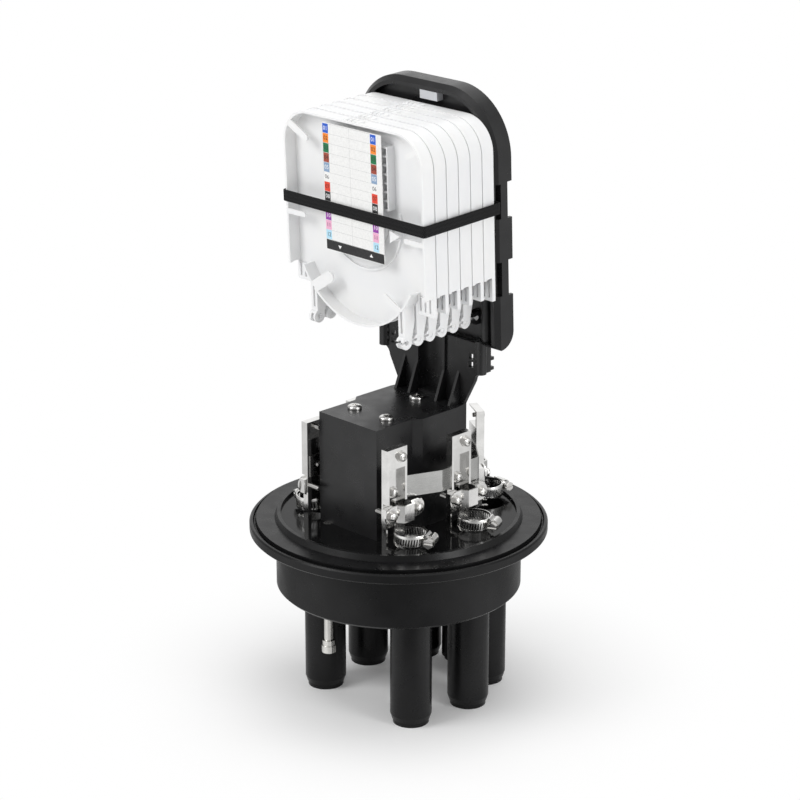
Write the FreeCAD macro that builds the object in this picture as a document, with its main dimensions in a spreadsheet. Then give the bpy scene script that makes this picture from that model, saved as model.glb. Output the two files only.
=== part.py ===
import FreeCAD, Part
import math
import os
import re
import Sketcher

# Dome splice closure with its dome lifted off. Millimetres, +Z up, the origin on the
# flange axis at the level of the port ends, the trays' open side facing -Y.

os.makedirs("parts", exist_ok=True)
doc = FreeCAD.newDocument("DomeSpliceClosure")
Vector = FreeCAD.Vector

# Driving dimensions, one named cell each.
SIZES = {
    # base moulding
    "rim_lip": 2.5,
    "rim_top": 131.4,
    "rim_height": 7.0,
    "rim_chamfer": 1.0,
    "groove_outer_radius": 101.5,
    "groove_width": 2.3,
    "groove_depth": 4.0,
    "annulus_step": 1.8,
    "ring_width": 2.5,
    "ring_slope": 1.8,
    "plate_top": 135.2,
    "plate_thickness": 4.0,
    "ring_rise": 2.0,
    "skirt_radius": 85.7,
    "skirt_wall": 3.5,
    "skirt_bottom": 83.4,
    "skirt_chamfer": 1.8,
    "rib_start": 8.0,
    "rib_thickness": 2.5,
    "rib_depth": 26.0,
    "seal_clearance": 0.1,
    "seal_width": 2.1,
    "seal_height": 2.6,
    "seal_chamfer": 0.6,
    # cable ports
    "port_radius": 14.5,
    "port_bore_radius": 12.0,
    "port_end_radius": 12.6,
    "port_end_height": 3.2,
    "port_cone_radius": 13.3,
    "port_cone_height": 3.8,
    "port_end_wall": 3.0,
    "front_port_x": 43.1,
    "front_port_y": -30.6,
    "side_port_x": 50.4,
    "side_port_y": 18.7,
    "rear_port_x": 32.0,
    "rear_port_y": 55.5,
    "oval_port_y": 66.0,
    "oval_port_radius": 10.5,
    "oval_port_spread": 7.0,
    "oval_bore_radius": 8.0,
    # air valve
    "valve_x": -20.0,
    "valve_y": -49.0,
    "valve_stem_radius": 3.25,
    "valve_bottom": 38.0,
    "valve_cap_radius": 5.0,
    "valve_cap_height": 5.0,
    "valve_neck_radius": 4.4,
    "valve_neck_height": 4.0,
    "valve_nut_radius": 7.5,
    "valve_nut_height": 4.0,
    "thread_clearance": 0.08,
    # box on the base
    "box_front": -48.4,
    "box_front_half": 28.0,
    "box_step_start": -14.5,
    "box_step_end": -9.0,
    "box_mid_half": 32.5,
    "box_taper_start": 24.0,
    "box_rear": 35.5,
    "box_rear_half": 30.5,
    "box_height": 73.0,
    "box_wall": 3.0,
    "lid_thickness": 6.1,
    "boss_radius": 5.0,
    "pilot_radius": 2.0,
    "pilot_depth": 16.0,
    "lid_screw_x": 15.4,
    "lid_screw_y": -27.0,
    "rear_screw_y": 17.4,
    # tray carrier
    "rib_outer_x": 26.1,
    "rib_inner_x": 13.0,
    "carrier_rib": 2.2,
    "rib_foot_y": 22.2,
    "rib_bend_y": 30.4,
    "rib_bend_rise": 21.2,
    "rib_top_rise": 48.7,
    "panel_front": 32.0,
    "panel_thickness": 3.0,
    "panel_half": 48.0,
    "panel_waist_half": 41.0,
    "panel_low_rise": 19.2,
    "panel_curve_rise": 25.7,
    "panel_top_rise": 49.5,
    "return_depth": 9.0,
    "hook_length": 3.0,
    "chute_radius": 11.6,
    "chute_wall": 2.0,
    "shell_half": 66.0,
    "shell_top": 437.3,
    "shell_bottom": 261.0,
    "shell_round": 44.0,
    "shell_front": 27.9,
    "shell_rear": 43.5,
    "shell_wall": 2.4,
    "shell_chamfer": 3.2,
    "column_x": 49.5,
    "column_radius": 4.0,
    "column_top": 294.0,
    "shell_low_round": 12.0,
    "flange_width": 6.0,
    "back_panel_y": 34.0,
    "slot_front": 29.6,
    "slot_width": 3.4,
    "cut_depth": 4.1,
    "upper_cut_low": 352.6,
    "upper_cut_high": 377.4,
    "lower_cut_low": 298.8,
    "lower_cut_high": 323.6,
    "window_size": 4.0,
    "window_gap": 1.8,
    "window_x": 40.6,
    "window_z": 247.7,
    "lean_angle": 2.3,
    # splice trays
    "tray_half": 65.5,
    "tray_top": 423.0,
    "tray_round": 23.5,
    "tray_front": -38.9,
    "tray_pitch": 11.1,
    "tray_depth": 10.8,
    "tray_wall": 1.6,
    "tray_floor": 1.4,
    "lip_depth": 2.4,
    "lip_proud": 0.5,
    "tray_side_bottom": 313.5,
    "last_side_bottom": 297.5,
    "disc_radius": 57.8,
    "disc_centre_z": 340.8,
    "comb_inner": 50.8,
    "comb_drop": 13.0,
    "comb_plate": 3.0,
    "comb_slot": 1.6,
    "comb_pitch": 4.4,
    "comb_border": 3.6,
    "comb_foot": 2.4,
    "last_comb_inner": 45.5,
    "hub_radius": 24.0,
    "hub_wall": 1.6,
    "hub_z": 357.0,
    "guide_radius": 37.0,
    "guide_width": 1.4,
    "guide_height": 1.2,
    "tab_thickness": 1.2,
    "tab_z": 350.5,
    "tab_width": 3.6,
    "tab_length": 16.0,
    "wedge_x": 34.0,
    "wedge_reach": 9.0,
    "wedge_z": 347.5,
    "wedge_rise": 8.5,
    "wedge_post": 2.4,
    "latch_pitch": 3.6,
    "latch_width": 1.7,
    "latch_depth": 5.0,
    "latch_rise": 1.5,
    "latch_plate": 8.0,
    "latch_plate_rise": 0.5,
    "latch_tab_start": -2.5,
    "latch_tab_length": 16.0,
    "latch_tab_drop": 6.1,
    # hinge chain
    "arm_x": 42.0,
    "arm_width": 5.8,
    "arm_start": 0.5,
    "arm_depth": 9.4,
    "arm_taper": 13.0,
    "arm_top": 309.0,
    "arm_slot_half": 0.9,
    "arm_slot_depth": 3.4,
    "arm_slot_length": 15.0,
    "hinge_z": 280.0,
    "hinge_inset": 2.4,
    "hook_radius": 4.6,
    "pin_radius": 1.7,
    "pin_clearance": 0.05,
    "tongue_width": 1.6,
    "tongue_clearance": 0.35,
    # splice holder, label and strap
    "holder_x": 25.0,
    "holder_width": 12.0,
    "holder_bottom": 367.5,
    "holder_pitch": 6.0,
    "holder_ridge": 1.3,
    "holder_height": 5.4,
    "holder_base": 1.0,
    "holder_web": 1.2,
    "card_left": -27.0,
    "card_right": 28.4,
    "card_top": 418.6,
    "card_bottom": 331.2,
    "card_thickness": 0.4,
    "card_recess": 0.2,
    "strap_top": 365.2,
    "strap_height": 7.8,
    "strap_thickness": 1.2,
    "strap_gap": 0.3,
    "strap_round": 0.8,
    "strap_leg": 8.0,
    # cable fixings
    "front_fixing_x": 42.0,
    "front_fixing_y": -46.6,
    "side_fixing_x": 52.0,
    "side_fixing_y": 4.7,
    "rear_fixing_x": 24.0,
    "rear_fixing_y": 52.5,
    "rear_fixing_angle": 60.0,
    "fixing_shift": 4.0,
    "fixing_half": 9.2,
    "fixing_screw_v": 3.5,
    "seat_gap": 0.05,
    "tongue_v": 5.2,
    "tongue_half": 4.3,
    "yoke_v": 6.0,
    "clamp_v": 6.5,
    "sheet_gauge": 1.2,
    "channel_depth": 5.6,
    "tab_high": 206.5,
    "channel_low": 168.0,
    "channel_high": 194.0,
    "frame_border": 1.9,
    "top_screw_z": 200.0,
    "mid_screw_z": 174.0,
    "tongue_low": 139.0,
    "foot_length": 9.0,
    "leg_width": 3.0,
    "yoke_low": 154.0,
    "yoke_high": 166.0,
    "yoke_half": 18.0,
    "yoke_screw_v": 12.3,
    "yoke_arch_half": 7.5,
    "yoke_arch_rise": 4.5,
    "yoke_gap": 0.2,
    "near_block_depth": 4.1,
    "far_block_depth": 7.0,
    "band_low": 166.6,
    "band_height": 15.4,
    "band_gauge": 0.8,
    "clamp_radius": 12.2,
    "clamp_gauge": 0.8,
    "clamp_low": 138.4,
    "clamp_height": 9.0,
    "clamp_offset": 6.2,
    "clamp_slot": 1.2,
    "clamp_turn": 25.0,
    "housing_length": 9.0,
    "housing_depth": 7.0,
    "worm_radius": 2.9,
    "worm_length": 13.0,
    "worm_head_length": 3.2,
    # screws
    "small_head_radius": 3.1,
    "small_head_height": 2.2,
    "small_shank_radius": 1.9,
    "washer_radius": 4.0,
    "washer_height": 0.8,
    "lid_head_radius": 5.0,
    "lid_head_height": 3.2,
    "lid_shank_radius": 2.0,
    "lid_shank_length": 18.0,
    "hole_clearance": 0.3,
    "near_screw_length": 15.0,
    "far_screw_length": 10.0,
}

sheet = doc.addObject("Spreadsheet::Sheet", "Sizes")
for row, (alias, value) in enumerate(SIZES.items(), start=1):
    sheet.set(f"A{row}", alias)
    sheet.set(f"B{row}", str(value))
    sheet.setAlias(f"B{row}", alias)
doc.recompute()

# Levels and places that follow from the sizes above.
ALIAS = re.compile(r"[a-z_]+[a-z_0-9]*")
BOX_TOP = "(plate_top + box_height)"
LID_TOP = "(plate_top + box_height + lid_thickness)"
RIM_BOTTOM = "(rim_top - rim_height)"
RIM_RADIUS = "(groove_outer_radius + rim_lip)"
GROOVE_INNER = "(groove_outer_radius - groove_width)"
GROOVE_FLOOR = "(rim_top - groove_depth)"
SKIRT_INNER = "(skirt_radius - skirt_wall)"
RING_OUTER = "(skirt_radius - skirt_wall + ring_width)"
RING_TOP = "(plate_top + ring_rise)"
ANNULUS_TOP = "(rim_top + annulus_step)"
PLATE_UNDER = "(plate_top - plate_thickness)"
HINGE_STEP = "(hinge_inset + tray_pitch)"
CARRIER_HINGE_Y = "(tray_front + 6 * tray_pitch + hinge_inset)"
NODES = []


def bound(text):
    """The expression with every size written as its cell in the sheet."""
    def cell(match):
        word = match.group(0)
        return "Sizes." + word if word in SIZES else word
    return ALIAS.sub(cell, str(text))


def size(text):
    """The value of an expression of sizes."""
    return float(sheet.evalExpression(bound(text)))


def node(part, label):
    part.Label = label
    NODES.append(part)
    return part


def place(part, x="0", y="0", z="0", turn=None, axis=Vector(0, 0, 1)):
    """Bind a part's position, and its turn about an axis, to the sheet."""
    if turn is not None:
        part.Placement = FreeCAD.Placement(Vector(), FreeCAD.Rotation(axis, 1.0))
        part.setExpression("Placement.Rotation.Angle", bound(f"({turn}) * 1 deg"))
    for letter, value in zip("xyz", (x, y, z)):
        part.setExpression(f"Placement.Base.{letter}", bound(value))
    return part


def lean(part):
    """Tip a part forward with the tray basket, about the basket's hinge line."""
    part.Placement = FreeCAD.Placement(Vector(), FreeCAD.Rotation(Vector(1, 0, 0), 1.0))
    part.setExpression("Placement.Rotation.Angle", bound("lean_angle * 1 deg"))
    cosine = "cos(lean_angle * 1 deg)"
    sine = "sin(lean_angle * 1 deg)"
    y, z = CARRIER_HINGE_Y, "hinge_z"
    part.setExpression("Placement.Base.y", bound(f"{y} - {y} * {cosine} + {z} * {sine}"))
    part.setExpression("Placement.Base.z", bound(f"{z} - {y} * {sine} - {z} * {cosine}"))
    return part


def box(name, x, y, z):
    """A block between pairs of (low, high) expressions."""
    part = doc.addObject("Part::Box", name)
    for side, letter, (low, high) in (("Length", "x", x), ("Width", "y", y), ("Height", "z", z)):
        part.setExpression(side, bound(f"({high}) - ({low})"))
        part.setExpression(f"Placement.Base.{letter}", bound(low))
    return part


def cylinder(name, radius, start, length, axis="z"):
    part = doc.addObject("Part::Cylinder", name)
    if axis == "x":
        part.Placement.Rotation = FreeCAD.Rotation(Vector(0, 1, 0), 90)
    if axis == "y":
        part.Placement.Rotation = FreeCAD.Rotation(Vector(1, 0, 0), -90)
    part.setExpression("Radius", bound(radius))
    part.setExpression("Height", bound(length))
    for letter, value in zip("xyz", start):
        part.setExpression(f"Placement.Base.{letter}", bound(value))
    return part


def fuse(name, parts):
    part = doc.addObject("Part::MultiFuse", name)
    part.Shapes = parts
    part.Refine = True
    return part


def cut(name, base, tools):
    part = doc.addObject("Part::Cut", name)
    part.Base = base
    part.Tool = tools[0] if len(tools) == 1 else fuse(name + "_tools", tools)
    part.Refine = True
    return part


def group(name, parts):
    """Solids that stay separate, kept together in one part."""
    part = doc.addObject("Part::Compound", name)
    part.Links = parts
    return part


def arc_centre(start, end, radius, side):
    """Centre of the arc from start to end; side is 1 for an arc that turns left."""
    middle = (start + end) * 0.5
    chord = end - start
    reach = math.sqrt(max(radius * radius - chord.Length * chord.Length / 4, 0.0))
    normal = Vector(-chord.y, chord.x, 0).normalize()
    return middle + normal * (reach * side)


def sketch(body, plane, offset, outlines):
    """A sketch on one of the body's planes. Each corner of an outline is (x, y) or
    (x, y, radius, side), where the last two make an arc to the next corner."""
    drawing = body.newObject("Sketcher::SketchObject", body.Name + "_sketch")
    origin_plane = next(item for item in body.Origin.OriginFeatures if item.Role == plane)
    drawing.AttachmentSupport = (origin_plane, [""])
    drawing.MapMode = "FlatFace"
    drawing.setExpression("AttachmentOffset.Base.z", bound(offset))
    for outline in outlines:
        points = [Vector(size(corner[0]), size(corner[1]), 0) for corner in outline]
        first = drawing.GeometryCount
        ends = []
        for index, corner in enumerate(outline):
            start, end = points[index], points[(index + 1) % len(points)]
            if len(corner) == 2:
                drawing.addGeometry(Part.LineSegment(start, end), False)
                ends.append((1, 2))
                continue
            side = corner[3]
            centre = arc_centre(start, end, size(corner[2]), side)
            begin, finish = (start, end) if side > 0 else (end, start)
            first_angle = math.atan2(begin.y - centre.y, begin.x - centre.x)
            last_angle = math.atan2(finish.y - centre.y, finish.x - centre.x)
            circle = Part.Circle(centre, Vector(0, 0, 1), size(corner[2]))
            drawing.addGeometry(Part.ArcOfCircle(circle, first_angle, last_angle), False)
            ends.append((1, 2) if side > 0 else (2, 1))
        for index, corner in enumerate(outline):
            geometry = first + index
            before = first + (index - 1) % len(outline)
            import_ends = ends[(index - 1) % len(outline)]
            join = Sketcher.Constraint("Coincident", before, import_ends[1], geometry, ends[index][0])
            drawing.addConstraint(join)
            for kind, line, value in (("DistanceX", -2, corner[0]), ("DistanceY", -1, corner[1])):
                if abs(size(value)) < 1e-9:
                    rest = Sketcher.Constraint("PointOnObject", geometry, ends[index][0], line)
                    drawing.addConstraint(rest)
                    continue
                reach = Sketcher.Constraint(kind, -1, 1, geometry, ends[index][0], size(value))
                number = drawing.addConstraint(reach)
                drawing.setExpression(f"Constraints[{number}]", bound(value))
            if len(corner) > 2:
                number = drawing.addConstraint(Sketcher.Constraint("Radius", geometry, size(corner[2])))
                drawing.setExpression(f"Constraints[{number}]", bound(corner[2]))
    return drawing


def pad(name, plane, low, high, outlines):
    """A body padded from an outline. On XY it spans Z, on YZ it spans X, and on XZ it
    spans Y, with the outline drawn as x and z."""
    body = doc.addObject("PartDesign::Body", name)
    offset = f"-({high})" if plane == "XZ_Plane" else low
    feature = body.newObject("PartDesign::Pad", name + "_pad")
    feature.Profile = sketch(body, plane, offset, outlines)
    feature.setExpression("Length", bound(f"({high}) - ({low})"))
    return body


def revolve(name, outlines):
    """A body turned about Z from an outline drawn as radius and height."""
    body = doc.addObject("PartDesign::Body", name)
    drawing = sketch(body, "XZ_Plane", "0", outlines)
    feature = body.newObject("PartDesign::Revolution", name + "_turn")
    feature.Profile = drawing
    feature.ReferenceAxis = (drawing, ["V_Axis"])
    feature.Angle = 360.0
    return body


def round_edges(body, radius, chosen):
    """Round the edges of a body that the test picks."""
    doc.recompute()
    base = body.Tip
    names = [f"Edge{index}" for index, edge in enumerate(base.Shape.Edges, start=1) if chosen(edge)]
    feature = body.newObject("PartDesign::Fillet", body.Name + "_round")
    feature.Base = (base, names)
    feature.setExpression("Radius", bound(radius))
    return body


def chamfer_edges(body, width, chosen):
    """Chamfer the edges of a body that the test picks."""
    doc.recompute()
    base = body.Tip
    names = [f"Edge{index}" for index, edge in enumerate(base.Shape.Edges, start=1) if chosen(edge)]
    feature = body.newObject("PartDesign::Chamfer", body.Name + "_chamfer")
    feature.Base = (base, names)
    feature.setExpression("Size", bound(width))
    return body


def strip(name, corners, radius, gauge, low, high):
    """A bent strip: a path with rounded bends, given its thickness on the left of the
    path and its width in Z."""
    points = [Vector(size(x), size(y), size(low)) for x, y in corners]
    bend = size(radius)
    edges = []
    start = points[0]
    for before, corner, after in zip(points, points[1:], points[2:]):
        back = (before - corner).normalize()
        ahead = (after - corner).normalize()
        half = back.getAngle(ahead) / 2
        reach = bend / math.tan(half)
        entry = corner + back * reach
        leave = corner + ahead * reach
        centre = corner + (back + ahead).normalize() * (bend / math.sin(half))
        middle = centre + (corner - centre).normalize() * bend
        edges.append(Part.LineSegment(start, entry).toShape())
        edges.append(Part.Arc(entry, middle, leave).toShape())
        start = leave
    edges.append(Part.LineSegment(start, points[-1]).toShape())
    face = Part.Wire(edges).makeOffset2D(-size(gauge), 0, True, True)
    part = doc.addObject("Part::Feature", name)
    part.Shape = face.extrude(Vector(0, 0, size(f"({high}) - ({low})"))).Solids[0]
    return part


# The base: flange with skirt, inner plate, ribs and blind ports. They are one moulding,
# given as pieces that meet face to face.

def make_port(name, x, y):
    """One round port, its end stepped in and closed."""
    end = cylinder(name + "_end", "port_end_radius", (x, y, "0"), "port_end_height")
    cone = doc.addObject("Part::Cone", name + "_cone")
    cone.setExpression("Radius1", bound("port_cone_radius"))
    cone.setExpression("Radius2", bound("port_radius"))
    cone.setExpression("Height", bound("port_cone_height"))
    place(cone, x, y, "port_end_height")
    shoulder = "port_end_height + port_cone_height"
    tube = cylinder(name + "_tube", "port_radius", (x, y, shoulder), f"{PLATE_UNDER} - ({shoulder})")
    bore = cylinder(name + "_bore", "port_bore_radius", (x, y, "port_end_wall"), "plate_top + 1")
    return fuse(name + "_body", [end, cone, tube]), bore


def make_oval(name, radius, low, high):
    """A solid of the oval port's outline: two round ends and a block between them."""
    parts = [box(f"{name}_middle", ("-oval_port_spread", "oval_port_spread"),
                 (f"oval_port_y - ({radius})", f"oval_port_y + ({radius})"), (low, high))]
    for side, sign in (("left", "-"), ("right", "")):
        parts.append(cylinder(f"{name}_{side}", radius, (f"{sign}oval_port_spread", "oval_port_y", low),
                              f"({high}) - ({low})"))
    return fuse(name, parts)


def make_base():
    node(revolve("base_form", [[
        (SKIRT_INNER, RING_TOP),
        (RING_OUTER, RING_TOP),
        (f"{RING_OUTER} + ring_slope", ANNULUS_TOP),
        (GROOVE_INNER, ANNULUS_TOP),
        (GROOVE_INNER, GROOVE_FLOOR),
        ("groove_outer_radius", GROOVE_FLOOR),
        ("groove_outer_radius", "rim_top"),
        (f"{RIM_RADIUS} - rim_chamfer", "rim_top"),
        (RIM_RADIUS, "rim_top - rim_chamfer"),
        (RIM_RADIUS, f"{RIM_BOTTOM} + rim_chamfer"),
        (f"{RIM_RADIUS} - rim_chamfer", RIM_BOTTOM),
        ("skirt_radius", RIM_BOTTOM),
        ("skirt_radius", "skirt_bottom + skirt_chamfer"),
        ("skirt_radius - skirt_chamfer", "skirt_bottom"),
        (SKIRT_INNER, "skirt_bottom"),
    ]]), "base")
    bores = []
    number = 0
    for side, sign in (("left", "-"), ("right", "")):
        for spot in ("front", "side", "rear"):
            number += 1
            form, bore = make_port(f"{spot}_{side}_port", f"{sign}{spot}_port_x", f"{spot}_port_y")
            node(cut(f"{spot}_{side}_port_form", form, [bore]), f"cable_port_{number}")
            bores.append(bore)
    oval_end = make_oval("oval_port_end", "oval_port_radius - port_radius + port_end_radius",
                         "0", "port_end_height")
    oval_tube = make_oval("oval_port_tube", "oval_port_radius", "port_end_height", PLATE_UNDER)
    oval_bore = make_oval("oval_port_bore", "oval_bore_radius", "port_end_wall", "plate_top + 1")
    node(cut("oval_port_form", fuse("oval_port_body", [oval_end, oval_tube]), [oval_bore]), "oval_port")
    bores.append(oval_bore)
    plate = cylinder("port_plate_disc", f"{SKIRT_INNER} - seat_gap", ("0", "0", PLATE_UNDER), "plate_thickness")
    valve_hole = cylinder("valve_hole", "valve_stem_radius + hole_clearance",
                          ("valve_x", "valve_y", f"{PLATE_UNDER} - 1"), "plate_thickness + 2")
    node(cut("port_plate_form", plate, bores + [valve_hole]), "port_plate")
    # Stiffening ribs under the plate, out to the skirt, between the ports.
    ribs = []
    for index, angle in enumerate((0, 42, 138, 180, 270)):
        rib = box(f"plate_rib_{index}", ("rib_start", f"{SKIRT_INNER} - seat_gap"),
                  ("-rib_thickness / 2", "rib_thickness / 2"), (f"{PLATE_UNDER} - rib_depth", PLATE_UNDER))
        ribs.append(place(group(f"plate_rib_turned_{index}", [rib]), turn=str(angle)))
    node(group("plate_rib_group", ribs), "plate_ribs")
    seal_outer = "groove_outer_radius - seal_clearance"
    seal_top = f"{GROOVE_FLOOR} + seal_height"
    node(revolve("seal_form", [[
        (f"{seal_outer} - seal_width", GROOVE_FLOOR),
        (seal_outer, GROOVE_FLOOR),
        (seal_outer, f"{seal_top} - seal_chamfer"),
        (f"{seal_outer} - seal_chamfer", seal_top),
        (f"{seal_outer} - seal_width + seal_chamfer", seal_top),
        (f"{seal_outer} - seal_width", f"{seal_top} - seal_chamfer"),
    ]]), "seal_ring")


def make_valve():
    under = PLATE_UNDER
    stem = cylinder("valve_stem_rod", "valve_stem_radius", ("valve_x", "valve_y", "valve_bottom + 2"),
                    f"plate_top - 0.2 - valve_bottom - 2")
    nut = doc.addObject("Part::Prism", "valve_nut")
    nut.Polygon = 6
    nut.setExpression("Circumradius", bound("valve_nut_radius"))
    nut.setExpression("Height", bound("valve_nut_height"))
    place(nut, "valve_x", "valve_y", f"{under} - valve_nut_height")
    node(fuse("valve_stem_form", [stem, nut]), "valve_stem")
    grip = cylinder("valve_cap_grip", "valve_cap_radius", ("valve_x", "valve_y", "valve_bottom"),
                    "valve_cap_height")
    neck = cylinder("valve_cap_neck", "valve_neck_radius",
                    ("valve_x", "valve_y", "valve_bottom + valve_cap_height - 0.5"), "valve_neck_height + 0.5")
    outer = fuse("valve_cap_outer", [grip, neck])
    hollow = cylinder("valve_cap_hollow", "valve_stem_radius + thread_clearance",
                      ("valve_x", "valve_y", "valve_bottom + 2"),
                      "valve_cap_height + valve_neck_height")
    node(cut("valve_cap_form", outer, [hollow]), "valve_cap")


# The box and its lid share one plan outline.

def plan_outline(inset):
    right = [
        (f"box_front_half - ({inset})", f"box_front + ({inset})"),
        (f"box_front_half - ({inset})", "box_step_start"),
        (f"box_mid_half - ({inset})", "box_step_end"),
        (f"box_mid_half - ({inset})", "box_taper_start"),
        (f"box_rear_half - ({inset})", f"box_rear - ({inset})"),
    ]
    left = [(f"-({x})", y) for x, y in reversed(right)]
    return right + left


def lid_screw_places():
    return [("lid_screw_x", "lid_screw_y"), ("-lid_screw_x", "lid_screw_y"), ("0", "rear_screw_y")]


def make_box():
    outer = pad("box_outer", "XY_Plane", "plate_top", BOX_TOP, [plan_outline("0")])
    hollow = pad("box_hollow", "XY_Plane", "plate_top + box_wall", f"{BOX_TOP} + 1",
                 [plan_outline("box_wall")])
    bosses = []
    pilots = []
    for index, (x, y) in enumerate(lid_screw_places()):
        bosses.append(cylinder(f"box_boss_{index}", "boss_radius", (x, y, "plate_top"), "box_height"))
        pilots.append(cylinder(f"box_pilot_{index}", "pilot_radius + hole_clearance",
                               (x, y, f"{BOX_TOP} - pilot_depth"), "pilot_depth + 1"))
    shell = cut("box_shell", outer, [hollow])
    node(cut("box_form", fuse("box_bossed", [shell] + bosses), pilots), "plinth_box")
    head = revolve("lid_screw_head", [[
        ("0", LID_TOP),
        ("lid_head_radius", LID_TOP),
        ("lid_head_radius", f"{LID_TOP} + 0.3 * lid_head_height"),
        ("0.78 * lid_head_radius", f"{LID_TOP} + 0.8 * lid_head_height"),
        ("0.4 * lid_head_radius", f"{LID_TOP} + lid_head_height"),
        ("0", f"{LID_TOP} + lid_head_height"),
    ]])
    shank = cylinder("lid_screw_shank", "lid_shank_radius", ("0", "0", f"{LID_TOP} - lid_shank_length"),
                     "lid_shank_length + 0.5")
    screw = fuse("lid_screw", [head, shank])
    screws = []
    for index, (x, y) in enumerate(lid_screw_places()):
        screws.append(place(group(f"lid_screw_{index}", [screw]), x, y))
    node(group("lid_screw_group", screws), "lid_screws")


# The tray carrier: lid, ribs, cable chute and basket, one moulding.

def shell_outline(inset, foot):
    """The basket's outline, rounded at the top, inset from its outer face."""
    half = f"shell_half - ({inset})"
    top = f"shell_top - ({inset})"
    turn = f"shell_round - ({inset})"
    return [
        (half, foot),
        (half, "shell_top - shell_round", turn, 1),
        ("shell_half - shell_round", top),
        ("-(shell_half - shell_round)", top, turn, 1),
        (f"-({half})", "shell_top - shell_round"),
        (f"-({half})", foot),
    ]


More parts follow.
